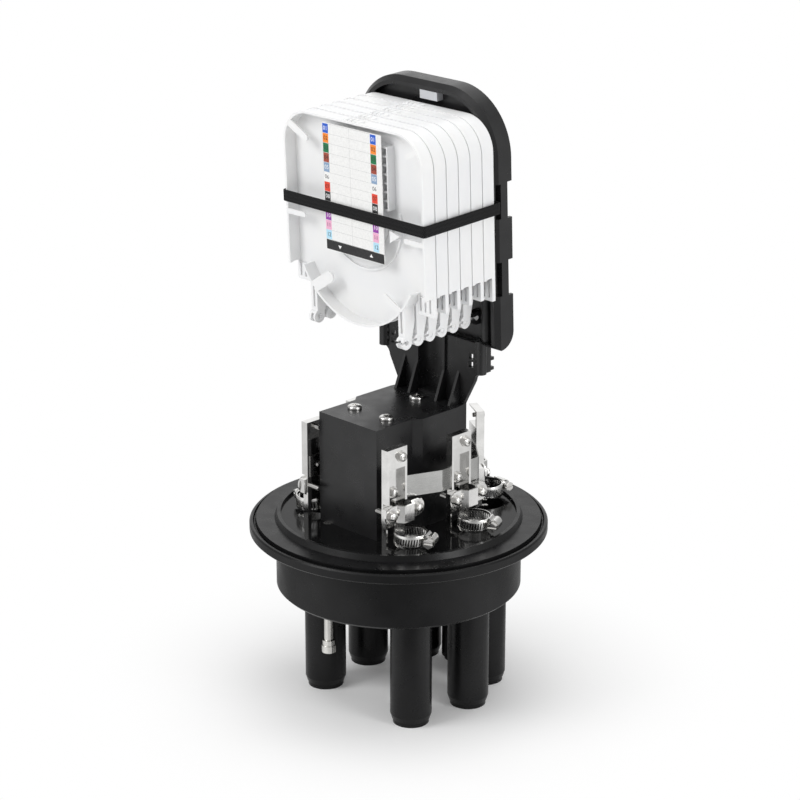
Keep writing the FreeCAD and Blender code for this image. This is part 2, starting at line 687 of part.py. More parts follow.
def make_carrier():
    lid = pad("carrier_lid", "XY_Plane", BOX_TOP, LID_TOP, [plan_outline("0")])
    parts = [lid]
    foot = f"{LID_TOP} - 0.5"
    for index, (x, tall) in enumerate((("-rib_outer_x", False), ("-rib_inner_x", True),
                                       ("rib_inner_x", True), ("rib_outer_x", False))):
        outline = [
            ("rib_foot_y", foot),
            ("panel_front + 1", foot),
            ("panel_front + 1", f"{LID_TOP} + rib_top_rise" if tall else f"{LID_TOP} + panel_curve_rise"),
        ]
        if tall:
            outline.append(("rib_bend_y", f"{LID_TOP} + rib_top_rise"))
            outline.append(("rib_bend_y", f"{LID_TOP} + rib_bend_rise"))
        parts.append(pad(f"carrier_rib_{index}", "YZ_Plane", f"{x} - carrier_rib / 2",
                         f"{x} + carrier_rib / 2", [outline]))
    # The upright panel, narrow at the lid and curving out to its full width.
    rise = "panel_curve_rise - panel_low_rise"
    right = [
        ("box_rear_half", foot),
        ("panel_waist_half", f"{LID_TOP} + panel_low_rise", f"({rise}) * 1.1", -1),
        ("panel_half", f"{LID_TOP} + panel_curve_rise"),
        ("panel_half", f"{LID_TOP} + panel_top_rise"),
    ]
    left = [
        ("-panel_half", f"{LID_TOP} + panel_top_rise"),
        ("-panel_half", f"{LID_TOP} + panel_curve_rise", f"({rise}) * 1.1", -1),
        ("-panel_waist_half", f"{LID_TOP} + panel_low_rise"),
        ("-box_rear_half", foot),
    ]
    parts.append(pad("carrier_panel", "XZ_Plane", "panel_front", "panel_front + panel_thickness",
                     [right + left]))
    chute_low = f"{LID_TOP} - 0.5"
    chute_high = f"{LID_TOP} + rib_top_rise"
    chute_outer = cylinder("chute_outer", "chute_radius + chute_wall", ("0", "panel_front", chute_low),
                           f"{chute_high} - ({chute_low})")
    chute = cylinder("chute_hollow", "chute_radius", ("0", "panel_front", f"{LID_TOP} + chute_wall"),
                     "rib_top_rise + 1")
    chute_front = box("chute_front", ("-(chute_radius + chute_wall + 1)", "chute_radius + chute_wall + 1"),
                      ("panel_front - chute_radius - chute_wall - 1", "rib_bend_y"),
                      (LID_TOP, f"{chute_high} + 1"))
    parts.append(cut("chute_form", chute_outer, [chute_front]))
    for sign, side in (("-", "left"), ("", "right")):
        inner, outer = f"{sign}(panel_half - panel_thickness)", f"{sign}panel_half"
        low, high = (outer, inner) if sign else (inner, outer)
        parts.append(box(f"carrier_return_{side}", (low, high), ("panel_front", "panel_front + return_depth"),
                         (f"{LID_TOP} + panel_curve_rise", f"{LID_TOP} + panel_top_rise")))
        for level in (0, 1):
            base = f"{LID_TOP} + panel_curve_rise + 1 + {level} * 7"
            parts.append(box(f"carrier_hook_{side}_{level}", (low, high),
                             ("panel_front + return_depth - 0.5", "panel_front + return_depth + hook_length"),
                             (base, f"{base} + 2.2")))
        parts.append(cylinder(f"carrier_column_{side}", "column_radius",
                              (f"{sign}(column_x - panel_thickness)", "panel_front + 0.5",
                               f"{LID_TOP} + panel_curve_rise"), "panel_top_rise - panel_curve_rise"))
    lower = fuse("carrier_lower", parts)
    screw_holes = [cylinder(f"lid_hole_{index}", "lid_shank_radius + hole_clearance",
                            (x, y, f"{BOX_TOP} - 1"), "lid_thickness + 2")
                   for index, (x, y) in enumerate(lid_screw_places())]
    windows = []
    for side, sign in (("left", "-"), ("right", "")):
        for column in (-1, 1):
            for level in (-1, 1):
                x = f"{sign}window_x + {column} * (window_size + window_gap) / 2"
                z = f"window_z + {level} * (window_size + window_gap) / 2"
                windows.append(box(f"window_{side}_{column + 1}_{level + 1}",
                                   (f"{x} - window_size / 2", f"{x} + window_size / 2"),
                                   ("panel_front - 1", "panel_front + panel_thickness + 1"),
                                   (f"{z} - window_size / 2", f"{z} + window_size / 2")))
    lower_cut = cut("carrier_lower_cut", lower, [chute] + screw_holes + windows)
    # The basket leans forward a little, as one with the trays.
    ring = pad("basket_ring", "XZ_Plane", "shell_front", "shell_rear", [shell_outline("0", "shell_bottom")])
    rear_low = size("shell_bottom")
    rear_edge = size("shell_rear")
    round_edges(ring, "shell_low_round", lambda edge: abs(edge.BoundBox.ZMin - rear_low) < 1e-3
                and edge.BoundBox.ZLength < 1e-3 and abs(edge.BoundBox.YMin - rear_edge) < 1e-3)
    front_edge = size("shell_front")
    chamfer_edges(ring, "shell_chamfer", lambda edge: abs(edge.BoundBox.YMax - front_edge) < 1e-3)
    core = pad("basket_core", "XZ_Plane", "back_panel_y + panel_thickness", "shell_rear + 1",
               [shell_outline("shell_wall", "shell_bottom + shell_wall")])
    front = pad("basket_front", "XZ_Plane", "shell_front - 1", "back_panel_y",
                [shell_outline("flange_width", "shell_bottom + shell_wall")])
    cuts = [core, front]
    for name, low, high in (("upper", "upper_cut_low", "upper_cut_high"),
                            ("lower", "lower_cut_low", "lower_cut_high")):
        for side, sign in (("left", "-"), ("right", "")):
            inner, outer = f"{sign}(shell_half - flange_width - 1)", f"{sign}(shell_half + 1)"
            x = (outer, inner) if sign else (inner, outer)
            cuts.append(box(f"{name}_notch_{side}", x, ("shell_rear - cut_depth", "shell_rear + 1"), (low, high)))
            cuts.append(box(f"{name}_slot_{side}", x, ("slot_front", "slot_front + slot_width"),
                            (f"{low} + 0.5", f"{high} - 0.5")))
    basket = cut("basket_cut", ring, cuts)
    # Cable posts at the foot of the basket's back panel.
    columns = []
    for side, sign in (("left", "-"), ("right", "")):
        columns.append(cylinder(f"column_{side}", "column_radius",
                                (f"{sign}column_x", "back_panel_y + 0.5", "shell_bottom + 0.5"),
                                "column_top - shell_bottom - 0.5"))
    # Sockets on the panel that take the last tray's hinge pins.
    sockets = []
    socket_cuts = []
    for side, sign in (("left", "-"), ("right", "")):
        x = f"{sign}arm_x"
        sockets.append(cylinder(f"socket_{side}", "hook_radius",
                                (f"{x} - arm_width / 2", CARRIER_HINGE_Y, "hinge_z"), "arm_width", "x"))
        sockets.append(box(f"socket_block_{side}", (f"{x} - arm_width / 2", f"{x} + arm_width / 2"),
                           (CARRIER_HINGE_Y, "back_panel_y + 0.5"),
                           ("hinge_z - hook_radius", "hinge_z + hook_radius")))
        socket_cuts += hinge_cuts(f"socket_{side}", x, CARRIER_HINGE_Y, side == "right")
    leaning = cut("basket_form", fuse("basket_sockets", [basket] + sockets + columns), socket_cuts)
    lean(leaning)
    node(fuse("carrier_form", [lower_cut, leaning]), "carrier")


# The hinge chain: every tray's arms carry a forked hook in front and a pin behind,
# and the pin runs in the next tray's hook.

def hinge_cuts(name, x, y, mouth):
    """The pin hole and the tongue's slot in a hook; mouth opens the hook to the front."""
    slot_half = "tongue_width / 2 + tongue_clearance"
    cuts = [
        cylinder(f"{name}_hole", "pin_radius + pin_clearance",
                 (f"{x} - arm_width / 2 - 1", y, "hinge_z"), "arm_width + 2", "x"),
        box(f"{name}_gap", (f"{x} - ({slot_half})", f"{x} + {slot_half}"),
            (f"{y} - hook_radius - 1", f"{y} + pin_radius + 0.8"),
            ("hinge_z - hook_radius - 1", "hinge_z + pin_radius + 0.8")),
    ]
    if mouth:
        cuts.append(box(f"{name}_mouth", (f"{x} - arm_width / 2 - 1", f"{x} + arm_width / 2 + 1"),
                        (f"{y} - hook_radius - 1", y), ("hinge_z - 0.3", "hinge_z + pin_radius - 0.3")))
    return cuts


def tray_outline(inset, foot):
    """A tray seen from the front: rounded top, straight sides and a round lower disc."""
    half = f"tray_half - ({inset})"
    top = f"tray_top - ({inset})"
    turn = f"tray_round - ({inset})"
    disc = f"disc_radius - ({inset})"
    low = f"({foot}) + ({inset})"
    chord = f"sqrt(({disc}) ^ 2 - (disc_centre_z - ({low})) ^ 2)"
    return [
        (f"-({chord})", low, disc, 1),
        (chord, low),
        (half, low),
        (half, "tray_top - tray_round", turn, 1),
        ("tray_half - tray_round", top),
        ("-(tray_half - tray_round)", top, turn, 1),
        (f"-({half})", "tray_top - tray_round"),
        (f"-({half})", low),
    ]


def finger_tab(name, x, z, way, length, width):
    """A round-ended tab in the tray's front plane, from (x, z) along the angle way."""
    bar = box(f"{name}_bar", ("-1", length), ("0", "tab_thickness"), (f"-({width}) / 2", f"({width}) / 2"))
    end = cylinder(f"{name}_end", f"({width}) / 2", (length, "0", "0"), "tab_thickness", "y")
    return place(group(name, [fuse(f"{name}_form", [bar, end])]), x, "tray_front", z,
                 turn=f"-({way})", axis=Vector(0, 1, 0))


def arm_outline():
    """A hinge arm seen from the side: straight in front, tapering behind into the hook."""
    near = "(tray_front + arm_start)"
    far = "(tray_front + arm_start + arm_depth)"
    return [
        (near, "arm_top"),
        (near, "hinge_z"),
        ("tray_front + hinge_inset + 0.7 * hook_radius", "hinge_z - 0.7 * hook_radius"),
        (far, "hinge_z + arm_taper"),
        (far, "arm_top"),
    ]


def make_tray(index):
    name = f"tray_{index}"
    last = index == 6
    front, back = "tray_front", "(tray_front + tray_depth)"
    floor = "(tray_front + tray_depth - tray_floor)"
    foot = "tray_side_bottom"
    lip = pad(f"{name}_lip", "XZ_Plane", front, f"{front} + lip_depth", [tray_outline("0", foot)])
    shell = pad(f"{name}_shell", "XZ_Plane", f"{front} + lip_depth / 2", back, [tray_outline("lip_proud", foot)])
    arms = []
    for side, sign in (("left", "-"), ("right", "")):
        arms.append(pad(f"{name}_arm_{side}", "YZ_Plane", f"{sign}arm_x - arm_width / 2",
                        f"{sign}arm_x + arm_width / 2", [arm_outline()]))
    inner = pad(f"{name}_inner", "XZ_Plane", f"{front} - 1", floor, [tray_outline("tray_wall", foot)])
    parts = [cut(f"{name}_dish", fuse(f"{name}_solid", [lip, shell] + arms), [inner])]
    cuts = []
    # The floor runs on below both side walls as a comb for the incoming fibres.
    comb_low = "last_side_bottom" if last else "(tray_side_bottom - comb_drop)"
    comb_inner = "last_comb_inner" if last else "comb_inner"
    for side, sign in (("left", "-"), ("right", "")):
        edges = (f"{sign}{comb_inner}", f"{sign}(tray_half - lip_proud)")
        parts.append(box(f"{name}_comb_{side}", edges if sign == "" else edges[::-1],
                         (f"{back} - comb_plate", back), (comb_low, f"{foot} + tray_wall")))
        doors = (f"{sign}(comb_inner + 0.8)", f"{sign}(tray_half - tray_wall)")
        cuts.append(box(f"{name}_door_{side}", doors if sign == "" else doors[::-1],
                        (f"{front} - 1", floor), (f"{foot} - 1", f"{foot} + tray_wall + 0.1")))
        for slot in range(3):
            x = f"{sign}(tray_half - comb_border - {slot} * comb_pitch)"
            cuts.append(box(f"{name}_slot_{side}_{slot}", (f"{x} - comb_slot / 2", f"{x} + comb_slot / 2"),
                            (f"{back} - comb_plate - 1", f"{back} - 0.8"),
                            (f"{comb_low} + comb_foot", f"{foot} - 1.2")))
    # Finger tabs at the front edge that keep the fibres in.
    wall = "(tray_half - tray_wall / 2)"
    corner = "(tray_half - tray_round + 0.8 * (tray_round - tray_wall))"
    level = "(tray_top - tray_round + 0.6 * (tray_round - tray_wall))"
    arc_x = "0.72 * (disc_radius - tray_wall / 2)"
    arc_z = "(disc_centre_z - 0.69 * (disc_radius - tray_wall / 2))"
    for tab, x, z, way, length, width in (
            ("left_tab", f"-{wall}", "tab_z", "0", "tab_length", "tab_width"),
            ("right_tab", wall, "tab_z + 1", "180", "tab_length", "tab_width"),
            ("top_left_tab", f"-{corner}", level, "-27", "17", "5.4"),
            ("top_right_tab", corner, level, "207", "9", "3.4"),
            ("low_left_tab", f"-{arc_x}", arc_z, "33", "18", "8"),
            ("low_right_tab", arc_x, arc_z, "152", "15", "5")):
        parts.append(finger_tab(f"{name}_{tab}", x, z, way, length, width))
    # The spool that the spare fibre is wound round, and a low guide ring outside it.
    hub_front = f"({front} + card_recess + card_thickness)"
    for ring, radius, width, start in (("hub", "hub_radius", "hub_wall", hub_front),
                                       ("guide", "guide_radius", "guide_width", f"({floor} - guide_height)")):
        outer = cylinder(f"{name}_{ring}", radius, ("0", start, "hub_z"), f"{back} - tray_floor / 2 - {start}", "y")
        hole = cylinder(f"{name}_{ring}_hole", f"{radius} - {width}", ("0", f"{start} - 1", "hub_z"),
                        f"{floor} - {start} + 1", "y")
        gap = box(f"{name}_{ring}_gap", (f"-{radius} - 1", f"{radius} + 1"),
                  (f"{start} - 1", floor), ("holder_bottom - 2", f"hub_z + {radius} + 1"))
        parts.append(cut(f"{name}_{ring}_ring", outer, [hole, gap]))
    wedge = pad(f"{name}_wedge", "XZ_Plane", front, f"{front} + tab_thickness", [[
        ("wedge_x", "wedge_z"),
        ("wedge_x + wedge_reach", "wedge_z + 0.7 * wedge_rise"),
        ("wedge_x", "wedge_z + wedge_rise"),
    ]])
    post = box(f"{name}_wedge_post", ("wedge_x", "wedge_x + wedge_post"), (front, back),
               ("wedge_z + 1.5", "wedge_z + wedge_rise - 1"))
    parts += [wedge, post]
    # Latch teeth on a thin step of the top edge.
    parts.append(box(f"{name}_latch_plate", ("-latch_plate", "latch_plate"),
                     (f"{front} + 1", f"{front} + 1 + latch_depth"), ("tray_top - 1", "tray_top + latch_plate_rise")))
    for tooth in (-1, 0, 1):
        x = f"{tooth} * latch_pitch"
        parts.append(box(f"{name}_latch_{tooth + 1}", (f"{x} - latch_width / 2", f"{x} + latch_width / 2"),
                         (f"{front} + 0.4", f"{front} + latch_depth"), ("tray_top - 1", "tray_top + latch_rise")))
    # Hooks, tongues and pins of the hinge chain.
    hook_y = f"({front} + hinge_inset)"
    pin_y = f"({front} + {HINGE_STEP})"
    pins = []
    for side, sign in (("left", "-"), ("right", "")):
        x = f"{sign}arm_x"
        start = f"{x} - arm_width / 2"
        parts.append(cylinder(f"{name}_hook_{side}", "hook_radius", (start, hook_y, "hinge_z"), "arm_width", "x"))
        parts.append(box(f"{name}_tongue_{side}", (f"{x} - tongue_width / 2", f"{x} + tongue_width / 2"),
                         (f"{front} + 5", pin_y), ("hinge_z - pin_radius", "hinge_z + pin_radius")))
        cuts += hinge_cuts(f"{name}_{side}", x, hook_y, side == "right")
        cuts.append(box(f"{name}_arm_slot_{side}", (f"{x} - arm_slot_half", f"{x} + arm_slot_half"),
                        (front, f"{front} + arm_slot_depth"),
                        ("hinge_z + hook_radius + 2", "hinge_z + hook_radius + 2 + arm_slot_length")))
        pins.append(cylinder(f"{name}_pin_{side}", "pin_radius", (f"{start} + 0.3", pin_y, "hinge_z"),
                             "arm_width - 0.6", "x"))
    body = cut(f"{name}_cut", fuse(f"{name}_body", parts), cuts)
    return fuse(f"{name}_form", [body] + pins)


def make_holder(index):
    """A clip-in comb that holds the fusion sleeves: two slotted blocks on one base."""
    name = f"holder_{index}"
    floor = "tray_front + tray_depth - tray_floor"
    base_y = (f"{floor} - holder_base", floor)
    ridge_y = (f"{floor} - holder_base - holder_height", f"{floor} - holder_base / 2")
    top = "holder_bottom + 7 * holder_pitch + holder_ridge"
    parts = [box(f"{name}_base", ("-holder_x - holder_width / 2", "holder_x + holder_width / 2"), base_y,
                 ("holder_bottom", top))]
    for side, sign in (("left", "-"), ("right", "")):
        x = f"{sign}holder_x"
        for ridge in range(8):
            z = f"holder_bottom + {ridge} * holder_pitch"
            parts.append(box(f"{name}_ridge_{side}_{ridge}", (f"{x} - holder_width / 2", f"{x} + holder_width / 2"),
                             ridge_y, (z, f"{z} + holder_ridge")))
        for web, offset in (("in", "-(holder_width - holder_web) / 2"), ("mid", "0"),
                            ("out", "(holder_width - holder_web) / 2")):
            parts.append(box(f"{name}_web_{side}_{web}",
                             (f"{x} + {offset} - holder_web / 2", f"{x} + {offset} + holder_web / 2"),
                             ridge_y, ("holder_bottom", top)))
    return fuse(f"{name}_form", parts)


def make_trays():
    for index in range(1, 7):
        tray = group(f"tray_{index}_placed", [make_tray(index)])
        shift = f"{index - 1} * tray_pitch"
        place(tray, y=shift)
        node(lean(group(f"tray_{index}_node", [tray])), f"tray_{index}")
        holder = group(f"holder_{index}_placed", [make_holder(index)])
        place(holder, y=shift)
        node(lean(group(f"holder_{index}_node", [holder])), f"splice_holder_{index}")
    card = box("card_form", ("card_left", "card_right"),
               ("tray_front + card_recess", "tray_front + card_recess + card_thickness"),
               ("card_bottom", "card_top"))
    node(lean(group("card_node", [card])), "label_card")
    latch = box("latch_form", ("latch_tab_start", "latch_tab_start + latch_tab_length"),
                ("shell_front + 0.4", "back_panel_y"),
                ("shell_top - flange_width - latch_tab_drop", "shell_top - flange_width"))
    node(lean(group("latch_node", [latch])), "tray_latch")


def make_strap():
    out = "(shell_half + strap_gap + strap_thickness)"
    fore = "(tray_front - strap_gap - strap_thickness)"
    rear = "(slot_front + slot_width / 2 + strap_thickness / 2)"
    inner = f"({out} - strap_leg)"
    gauge = "strap_thickness"
    right = [
        (out, fore),
        (out, rear),
        (inner, rear),
        (inner, f"{rear} - {gauge}"),
        (f"{out} - {gauge}", f"{rear} - {gauge}"),
        (f"{out} - {gauge}", f"{fore} + {gauge}"),
    ]
    left = [(f"-({x})", y) for x, y in reversed(right)]
    band = pad("strap_form", "XY_Plane", "strap_top - strap_height", "strap_top", [right + left])
    tall = size("strap_height")
    tips = size(inner) + 1e-3
    outside = {round(size(out), 3)}

    def is_bend(edge, on_outside):
        place_x = abs(edge.BoundBox.XMax)
        if edge.BoundBox.ZLength < tall - 1e-3 or place_x < tips:
            return False
        return (round(place_x, 3) in outside) == on_outside

    round_edges(band, "strap_round + strap_thickness", lambda edge: is_bend(edge, True))
    round_edges(band, "strap_round", lambda edge: is_bend(edge, False))
    node(lean(group("strap_node", [band])), "strap")


# The six cable fixings of bent sheet, each with its yoke, hose band and screws.

def fixings():
    places = []
    for side, sign in (("left", "-"), ("right", "")):
        for spot in ("front", "side", "rear"):
            angle = {"front": "0", "side": "0", "rear": "rear_fixing_angle"}[spot]
            turn = f"180 - {angle}" if sign else angle
            places.append((f"fixing_shift + ({sign}{spot}_fixing_x)", f"{spot}_fixing_y", turn))
    return places


def bracket_form():
    """The bracket in its own frame: X outward, Y along the sheet, outer face at X = 0."""
    half = "fixing_half"
    depth = "channel_depth"
    tab = box("tab_block", (f"-{depth}", "0"), (f"-{half}", half), ("channel_high - sheet_gauge / 2", "tab_high"))
    tab_room = box("tab_room", (f"-{depth} - 1", "-sheet_gauge"), (f"-{half} + sheet_gauge", f"{half} + 1"),
                   ("channel_high - sheet_gauge", "tab_high - sheet_gauge"))
    channel = box("channel_block", (f"-{depth}", "0"), (f"-{half}", half), ("channel_low", "channel_high"))
    window = box("channel_window", (f"-{depth} + sheet_gauge", "1"),
                 (f"-{half} + frame_border", f"{half} - frame_border"),
                 ("channel_low - 1", "channel_high - frame_border"))
    back = box("bracket_back", (f"-{depth}", f"-{depth} + sheet_gauge"), (f"-{half}", "tongue_v + tongue_half"),
               ("clamp_low + clamp_height + 2", "channel_low + 1"))
    leg = box("bracket_leg", (f"-{depth}", f"-{depth} + sheet_gauge"), (f"-{half}", f"-{half} + leg_width"),
              ("plate_top", "channel_low + 1"))
    leg_side = box("bracket_leg_side", (f"-{depth}", "-sheet_gauge"), (f"-{half}", f"-{half} + sheet_gauge"),
                   ("plate_top", "yoke_low - 0.3"))
    foot = box("bracket_foot", (f"-{depth}", f"-{depth} + foot_length"), (f"-{half}", f"-{half} + leg_width"),
               ("plate_top", "plate_top + sheet_gauge"))
    tongue_span = ("tongue_v - tongue_half", "tongue_v + tongue_half")
    # The tongue's back edges seat against the inside of the hose band.
    reach = "sqrt((clamp_radius - clamp_gauge) ^ 2 - (tongue_half + clamp_v - tongue_v) ^ 2)"
    tongue_back = f"(clamp_offset - {reach} + seat_gap)"
    tongue_front = f"({tongue_back} + sheet_gauge)"
    bridge = box("bracket_bridge", (f"-{depth}", tongue_front), tongue_span,
                 ("channel_low - sheet_gauge", "channel_low"))
    tongue = box("bracket_tongue", (tongue_back, tongue_front), tongue_span, ("tongue_low", "channel_low"))
    upper = cut("bracket_upper", tab, [tab_room])
    lower = cut("bracket_lower", channel, [window])
    body = fuse("bracket_body", [upper, lower, back, leg, leg_side, foot, bridge, tongue])
    holes = [
        cylinder("top_screw_hole", "small_shank_radius + hole_clearance",
                 ("-sheet_gauge - 1", "fixing_screw_v", "top_screw_z"), "sheet_gauge + 2", "x"),
        cylinder("mid_screw_hole", "small_shank_radius + hole_clearance",
                 (f"-{depth} - 1", "0", "mid_screw_z"), "sheet_gauge + 2", "x"),
        cylinder("near_screw_hole", "small_shank_radius + hole_clearance",
                 (f"-{depth} - 1", "yoke_v - yoke_screw_v", "(yoke_low + yoke_high) / 2"), "sheet_gauge + 2", "x"),
    ]
    return cut("bracket_form", body, holes)


def yoke_form():
    """The arched yoke and the block that it is screwed to, on both sides of the channel."""
    inner = "yoke_arch_half"
    rise = "yoke_arch_rise"
    gauge = "sheet_gauge"
    face = "yoke_gap"
    outline = [
        (face, "-yoke_half"),
        (f"{face} + {gauge}", "-yoke_half"),
        (f"{face} + {gauge}", f"-{inner}"),
        (f"{rise} + {gauge}", f"-{inner} + 3"),
        (f"{rise} + {gauge}", f"{inner} - 3"),
        (f"{face} + {gauge}", inner),
        (f"{face} + {gauge}", "yoke_half"),
        (face, "yoke_half"),
        (face, f"{inner} - 1"),
        (rise, f"{inner} - 4"),
        (rise, f"-{inner} + 4"),
        (face, f"-{inner} + 1"),
    ]
    arch = pad("yoke_arch", "XY_Plane", "yoke_low", "yoke_high", [outline])
    reach = size("yoke_half")
    round_edges(arch, "(yoke_high - yoke_low) / 2 - 0.3",
                lambda edge: abs(abs(edge.BoundBox.YMin) - reach) < 1e-3
                and edge.BoundBox.YLength < 1e-3 and edge.BoundBox.ZLength < 1e-3)
    near = box("yoke_block_near", ("-near_block_depth", f"{face} + 0.1"),
               ("-yoke_screw_v - 4.6", "-yoke_screw_v + 4.6"), ("yoke_low + 1", "yoke_high - 1"))
    far = box("yoke_block_far", ("-far_block_depth", f"{face} + 0.1"),
              ("yoke_screw_v - 4.6", "yoke_screw_v + 4.6"), ("yoke_low + 1", "yoke_high - 1"))
    holes = []
    middle = "(yoke_low + yoke_high) / 2"
    for side, v in (("near", "-yoke_screw_v"), ("far", "yoke_screw_v")):
        holes.append(cylinder(f"yoke_hole_{side}", "small_shank_radius + hole_clearance",
                              ("-far_block_depth - 1", v, middle), "far_block_depth + 4", "x"))
    form = cut("yoke_form", fuse("yoke_body", [arch, near, far]), holes)
    return place(form, y="yoke_v")


def clamp_form():
    """A slotted hose band with its screw housing, round its own axis at the origin."""
    outer = cylinder("clamp_outer", "clamp_radius", ("0", "0", "clamp_low"), "clamp_height")
    inner = cylinder("clamp_inner", "clamp_radius - clamp_gauge", ("0", "0", "clamp_low - 1"), "clamp_height + 2")
    ring = cut("clamp_ring", outer, [inner])
    slots = []
    for index in range(13):
        slot = box(f"clamp_slot_{index}", ("clamp_radius - clamp_gauge - 1", "clamp_radius + 1"),
                   ("-clamp_slot / 2", "clamp_slot / 2"), ("clamp_low + 1.8", "clamp_low + clamp_height - 1.8"))
        turned = group(f"clamp_slot_turned_{index}", [slot])
        place(turned, turn=str(-180 + 12 * index))
        slots.append(turned)
    slotted = cut("clamp_slotted", ring, slots)
    housing = box("clamp_housing", ("clamp_radius - clamp_gauge / 2", "clamp_radius + housing_depth"),
                  ("-housing_length / 2", "housing_length / 2"),
                  ("clamp_low - 0.4", "clamp_low + clamp_height + 0.4"))
    bore = cylinder("clamp_bore", "worm_radius + 0.15",
                    ("clamp_radius + housing_depth / 2", "-housing_length", "clamp_low + clamp_height / 2"),
                    "2 * housing_length", "y")
    return cut("clamp_form", fuse("clamp_body", [slotted, housing]), [bore])


def worm_form():
    axis_x = "clamp_radius + housing_depth / 2"
    middle = "clamp_low + clamp_height / 2"
    shank = cylinder("worm_shank", "worm_radius", (axis_x, "-worm_length + housing_length / 2 + 1", middle),
                     "worm_length", "y")
    head = cylinder("worm_head", "worm_radius + 1.1", (axis_x, "-worm_length + housing_length / 2 - 1.5", middle),
                    "worm_head_length", "y")
    return fuse("worm_form", [shank, head])


def small_screw(name, x, y, z, length):
    """A pan-head screw along X with its washer; x is the face that it seats on."""
    washer = cylinder(f"{name}_washer", "washer_radius", (x, y, z), "washer_height", "x")
    head = cylinder(f"{name}_head", "small_head_radius", (f"{x} + washer_height - 0.1", y, z),
                    "small_head_height", "x")
    shank = cylinder(f"{name}_shank", "small_shank_radius", (f"{x} - ({length})", y, z), f"{length} + 0.5", "x")
    return fuse(name, [washer, head, shank])


def mirrored(form):
    """The same form for the left side, its sheet direction reversed."""
    part = doc.addObject("Part::Mirroring", form.Name + "_mirrored")
    part.Source = form
    part.Normal = Vector(0, 1, 0)
    return part


def make_fixings():
    clamp = place(group("clamp_seated", [clamp_form()]), "clamp_offset", "clamp_v", turn="clamp_turn")
    worm = place(group("worm_seated", [worm_form()]), "clamp_offset", "clamp_v", turn="clamp_turn")
    middle = "(yoke_low + yoke_high) / 2"
    plain = group("plain_screws", [
        small_screw("top_screw", "0", "fixing_screw_v", "top_screw_z", "5"),
        small_screw("mid_screw", "-channel_depth + sheet_gauge", "0", "mid_screw_z",
                    "sheet_gauge + band_gauge + 1"),
    ])
    long = group("long_screws", [
        small_screw("near_screw", "yoke_gap + sheet_gauge", "yoke_v - yoke_screw_v", middle, "near_screw_length"),
        small_screw("far_screw", "yoke_gap + sheet_gauge", "yoke_v + yoke_screw_v", middle, "far_screw_length"),
    ])
    forms = {
        "cable_bracket": bracket_form(),
        "clamp_yoke": yoke_form(),
        "hose_band": clamp,
        "worm_screw": worm,
        "plain_screws": plain,
        "long_screws": long,
    }
    others = {name: mirrored(form) for name, form in forms.items()}
    screws = {"plain_screws": [], "long_screws": []}
    for number, (x, y, turn) in enumerate(fixings(), start=1):
        for name, form in (others if "180" in turn else forms).items():
            copy = place(group(f"{name}_copy_{number}", [form]), x, y, turn=turn)
            if name in screws:
                screws[name].append(copy)
            else:
                node(copy, f"{name}_{number}")
    node(group("bracket_screw_group", screws["plain_screws"]), "bracket_screws")
    node(group("yoke_screw_group", screws["long_screws"]), "yoke_screws")


def make_fixing_ring():
    """The horseshoe strip behind the brackets, open at the front where the box stands."""
    back = "channel_depth"
    sine = "sin(rear_fixing_angle * 1 deg)"
    cosine = "cos(rear_fixing_angle * 1 deg)"
    rear_x = f"(rear_fixing_x - {back} * {cosine})"
    rear_y = f"(rear_fixing_y - {back} * {sine})"
    near_x, near_y = f"({rear_x} + 9 * {sine})", f"({rear_y} - 9 * {cosine})"
    far_x, far_y = f"({rear_x} - 9 * {sine})", f"({rear_y} + 9 * {cosine})"
    right = [
        (f"front_fixing_x - {back}", "front_fixing_y - fixing_half + 2"),
        (f"front_fixing_x - {back}", "front_fixing_y + fixing_half + 4"),
        (f"side_fixing_x - {back}", "side_fixing_y - fixing_half - 4"),
        (f"side_fixing_x - {back}", "box_taper_start + 4"),
        (near_x, near_y),
        (far_x, far_y),
    ]
    left = [(f"fixing_shift - ({x})", y) for x, y in reversed(right)]
    right = [(f"fixing_shift + ({x})", y) for x, y in right]
    band = strip("fixing_band", right + left, "3.5", "band_gauge", "band_low", "band_low + band_height")
    holes = []
    for number, (x, y, turn) in enumerate(fixings(), start=1):
        drill = cylinder(f"band_drill_{number}", "small_shank_radius + hole_clearance",
                         (f"-{back} - 3", "0", "mid_screw_z"), "6", "x")
        holes.append(place(group(f"band_hole_{number}", [drill]), x, y, turn=turn))
    node(cut("fixing_ring_form", band, holes), "fixing_ring")


make_base()
make_valve()
make_box()
make_carrier()
make_trays()
make_strap()
make_fixings()
make_fixing_ring()
doc.recompute()

for item in doc.Objects:
    if any(word in item.State for word in ("Invalid", "Error")):
        raise RuntimeError(f"{item.Name} failed: {item.State}")
for part in NODES:
    if part.Shape.isNull() or not part.Shape.isValid():
        raise RuntimeError(f"{part.Label} has no valid shape")
for part in NODES:
    part.Shape.exportStep(f"parts/{part.Label}.step")
    print(f"{part.Label}: {len(part.Shape.Solids)} solids, {part.Shape.Volume / 1000:.1f} cm3")
print(len(NODES), "nodes")
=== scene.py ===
# %% [markdown]
# A dome splice closure keeps the joints of optical fibre cables dry. Its dome is lifted off here,
# so the base, the cable clamps and the hinged splice trays stand open. Every solid comes from the
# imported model, in metres, so this lesson only dresses it: finishes first, then the small pieces
# whose shape a plain solid can't show, and at last the light and the camera.

import math

import bmesh
import bpy
from mathutils import Matrix, Vector


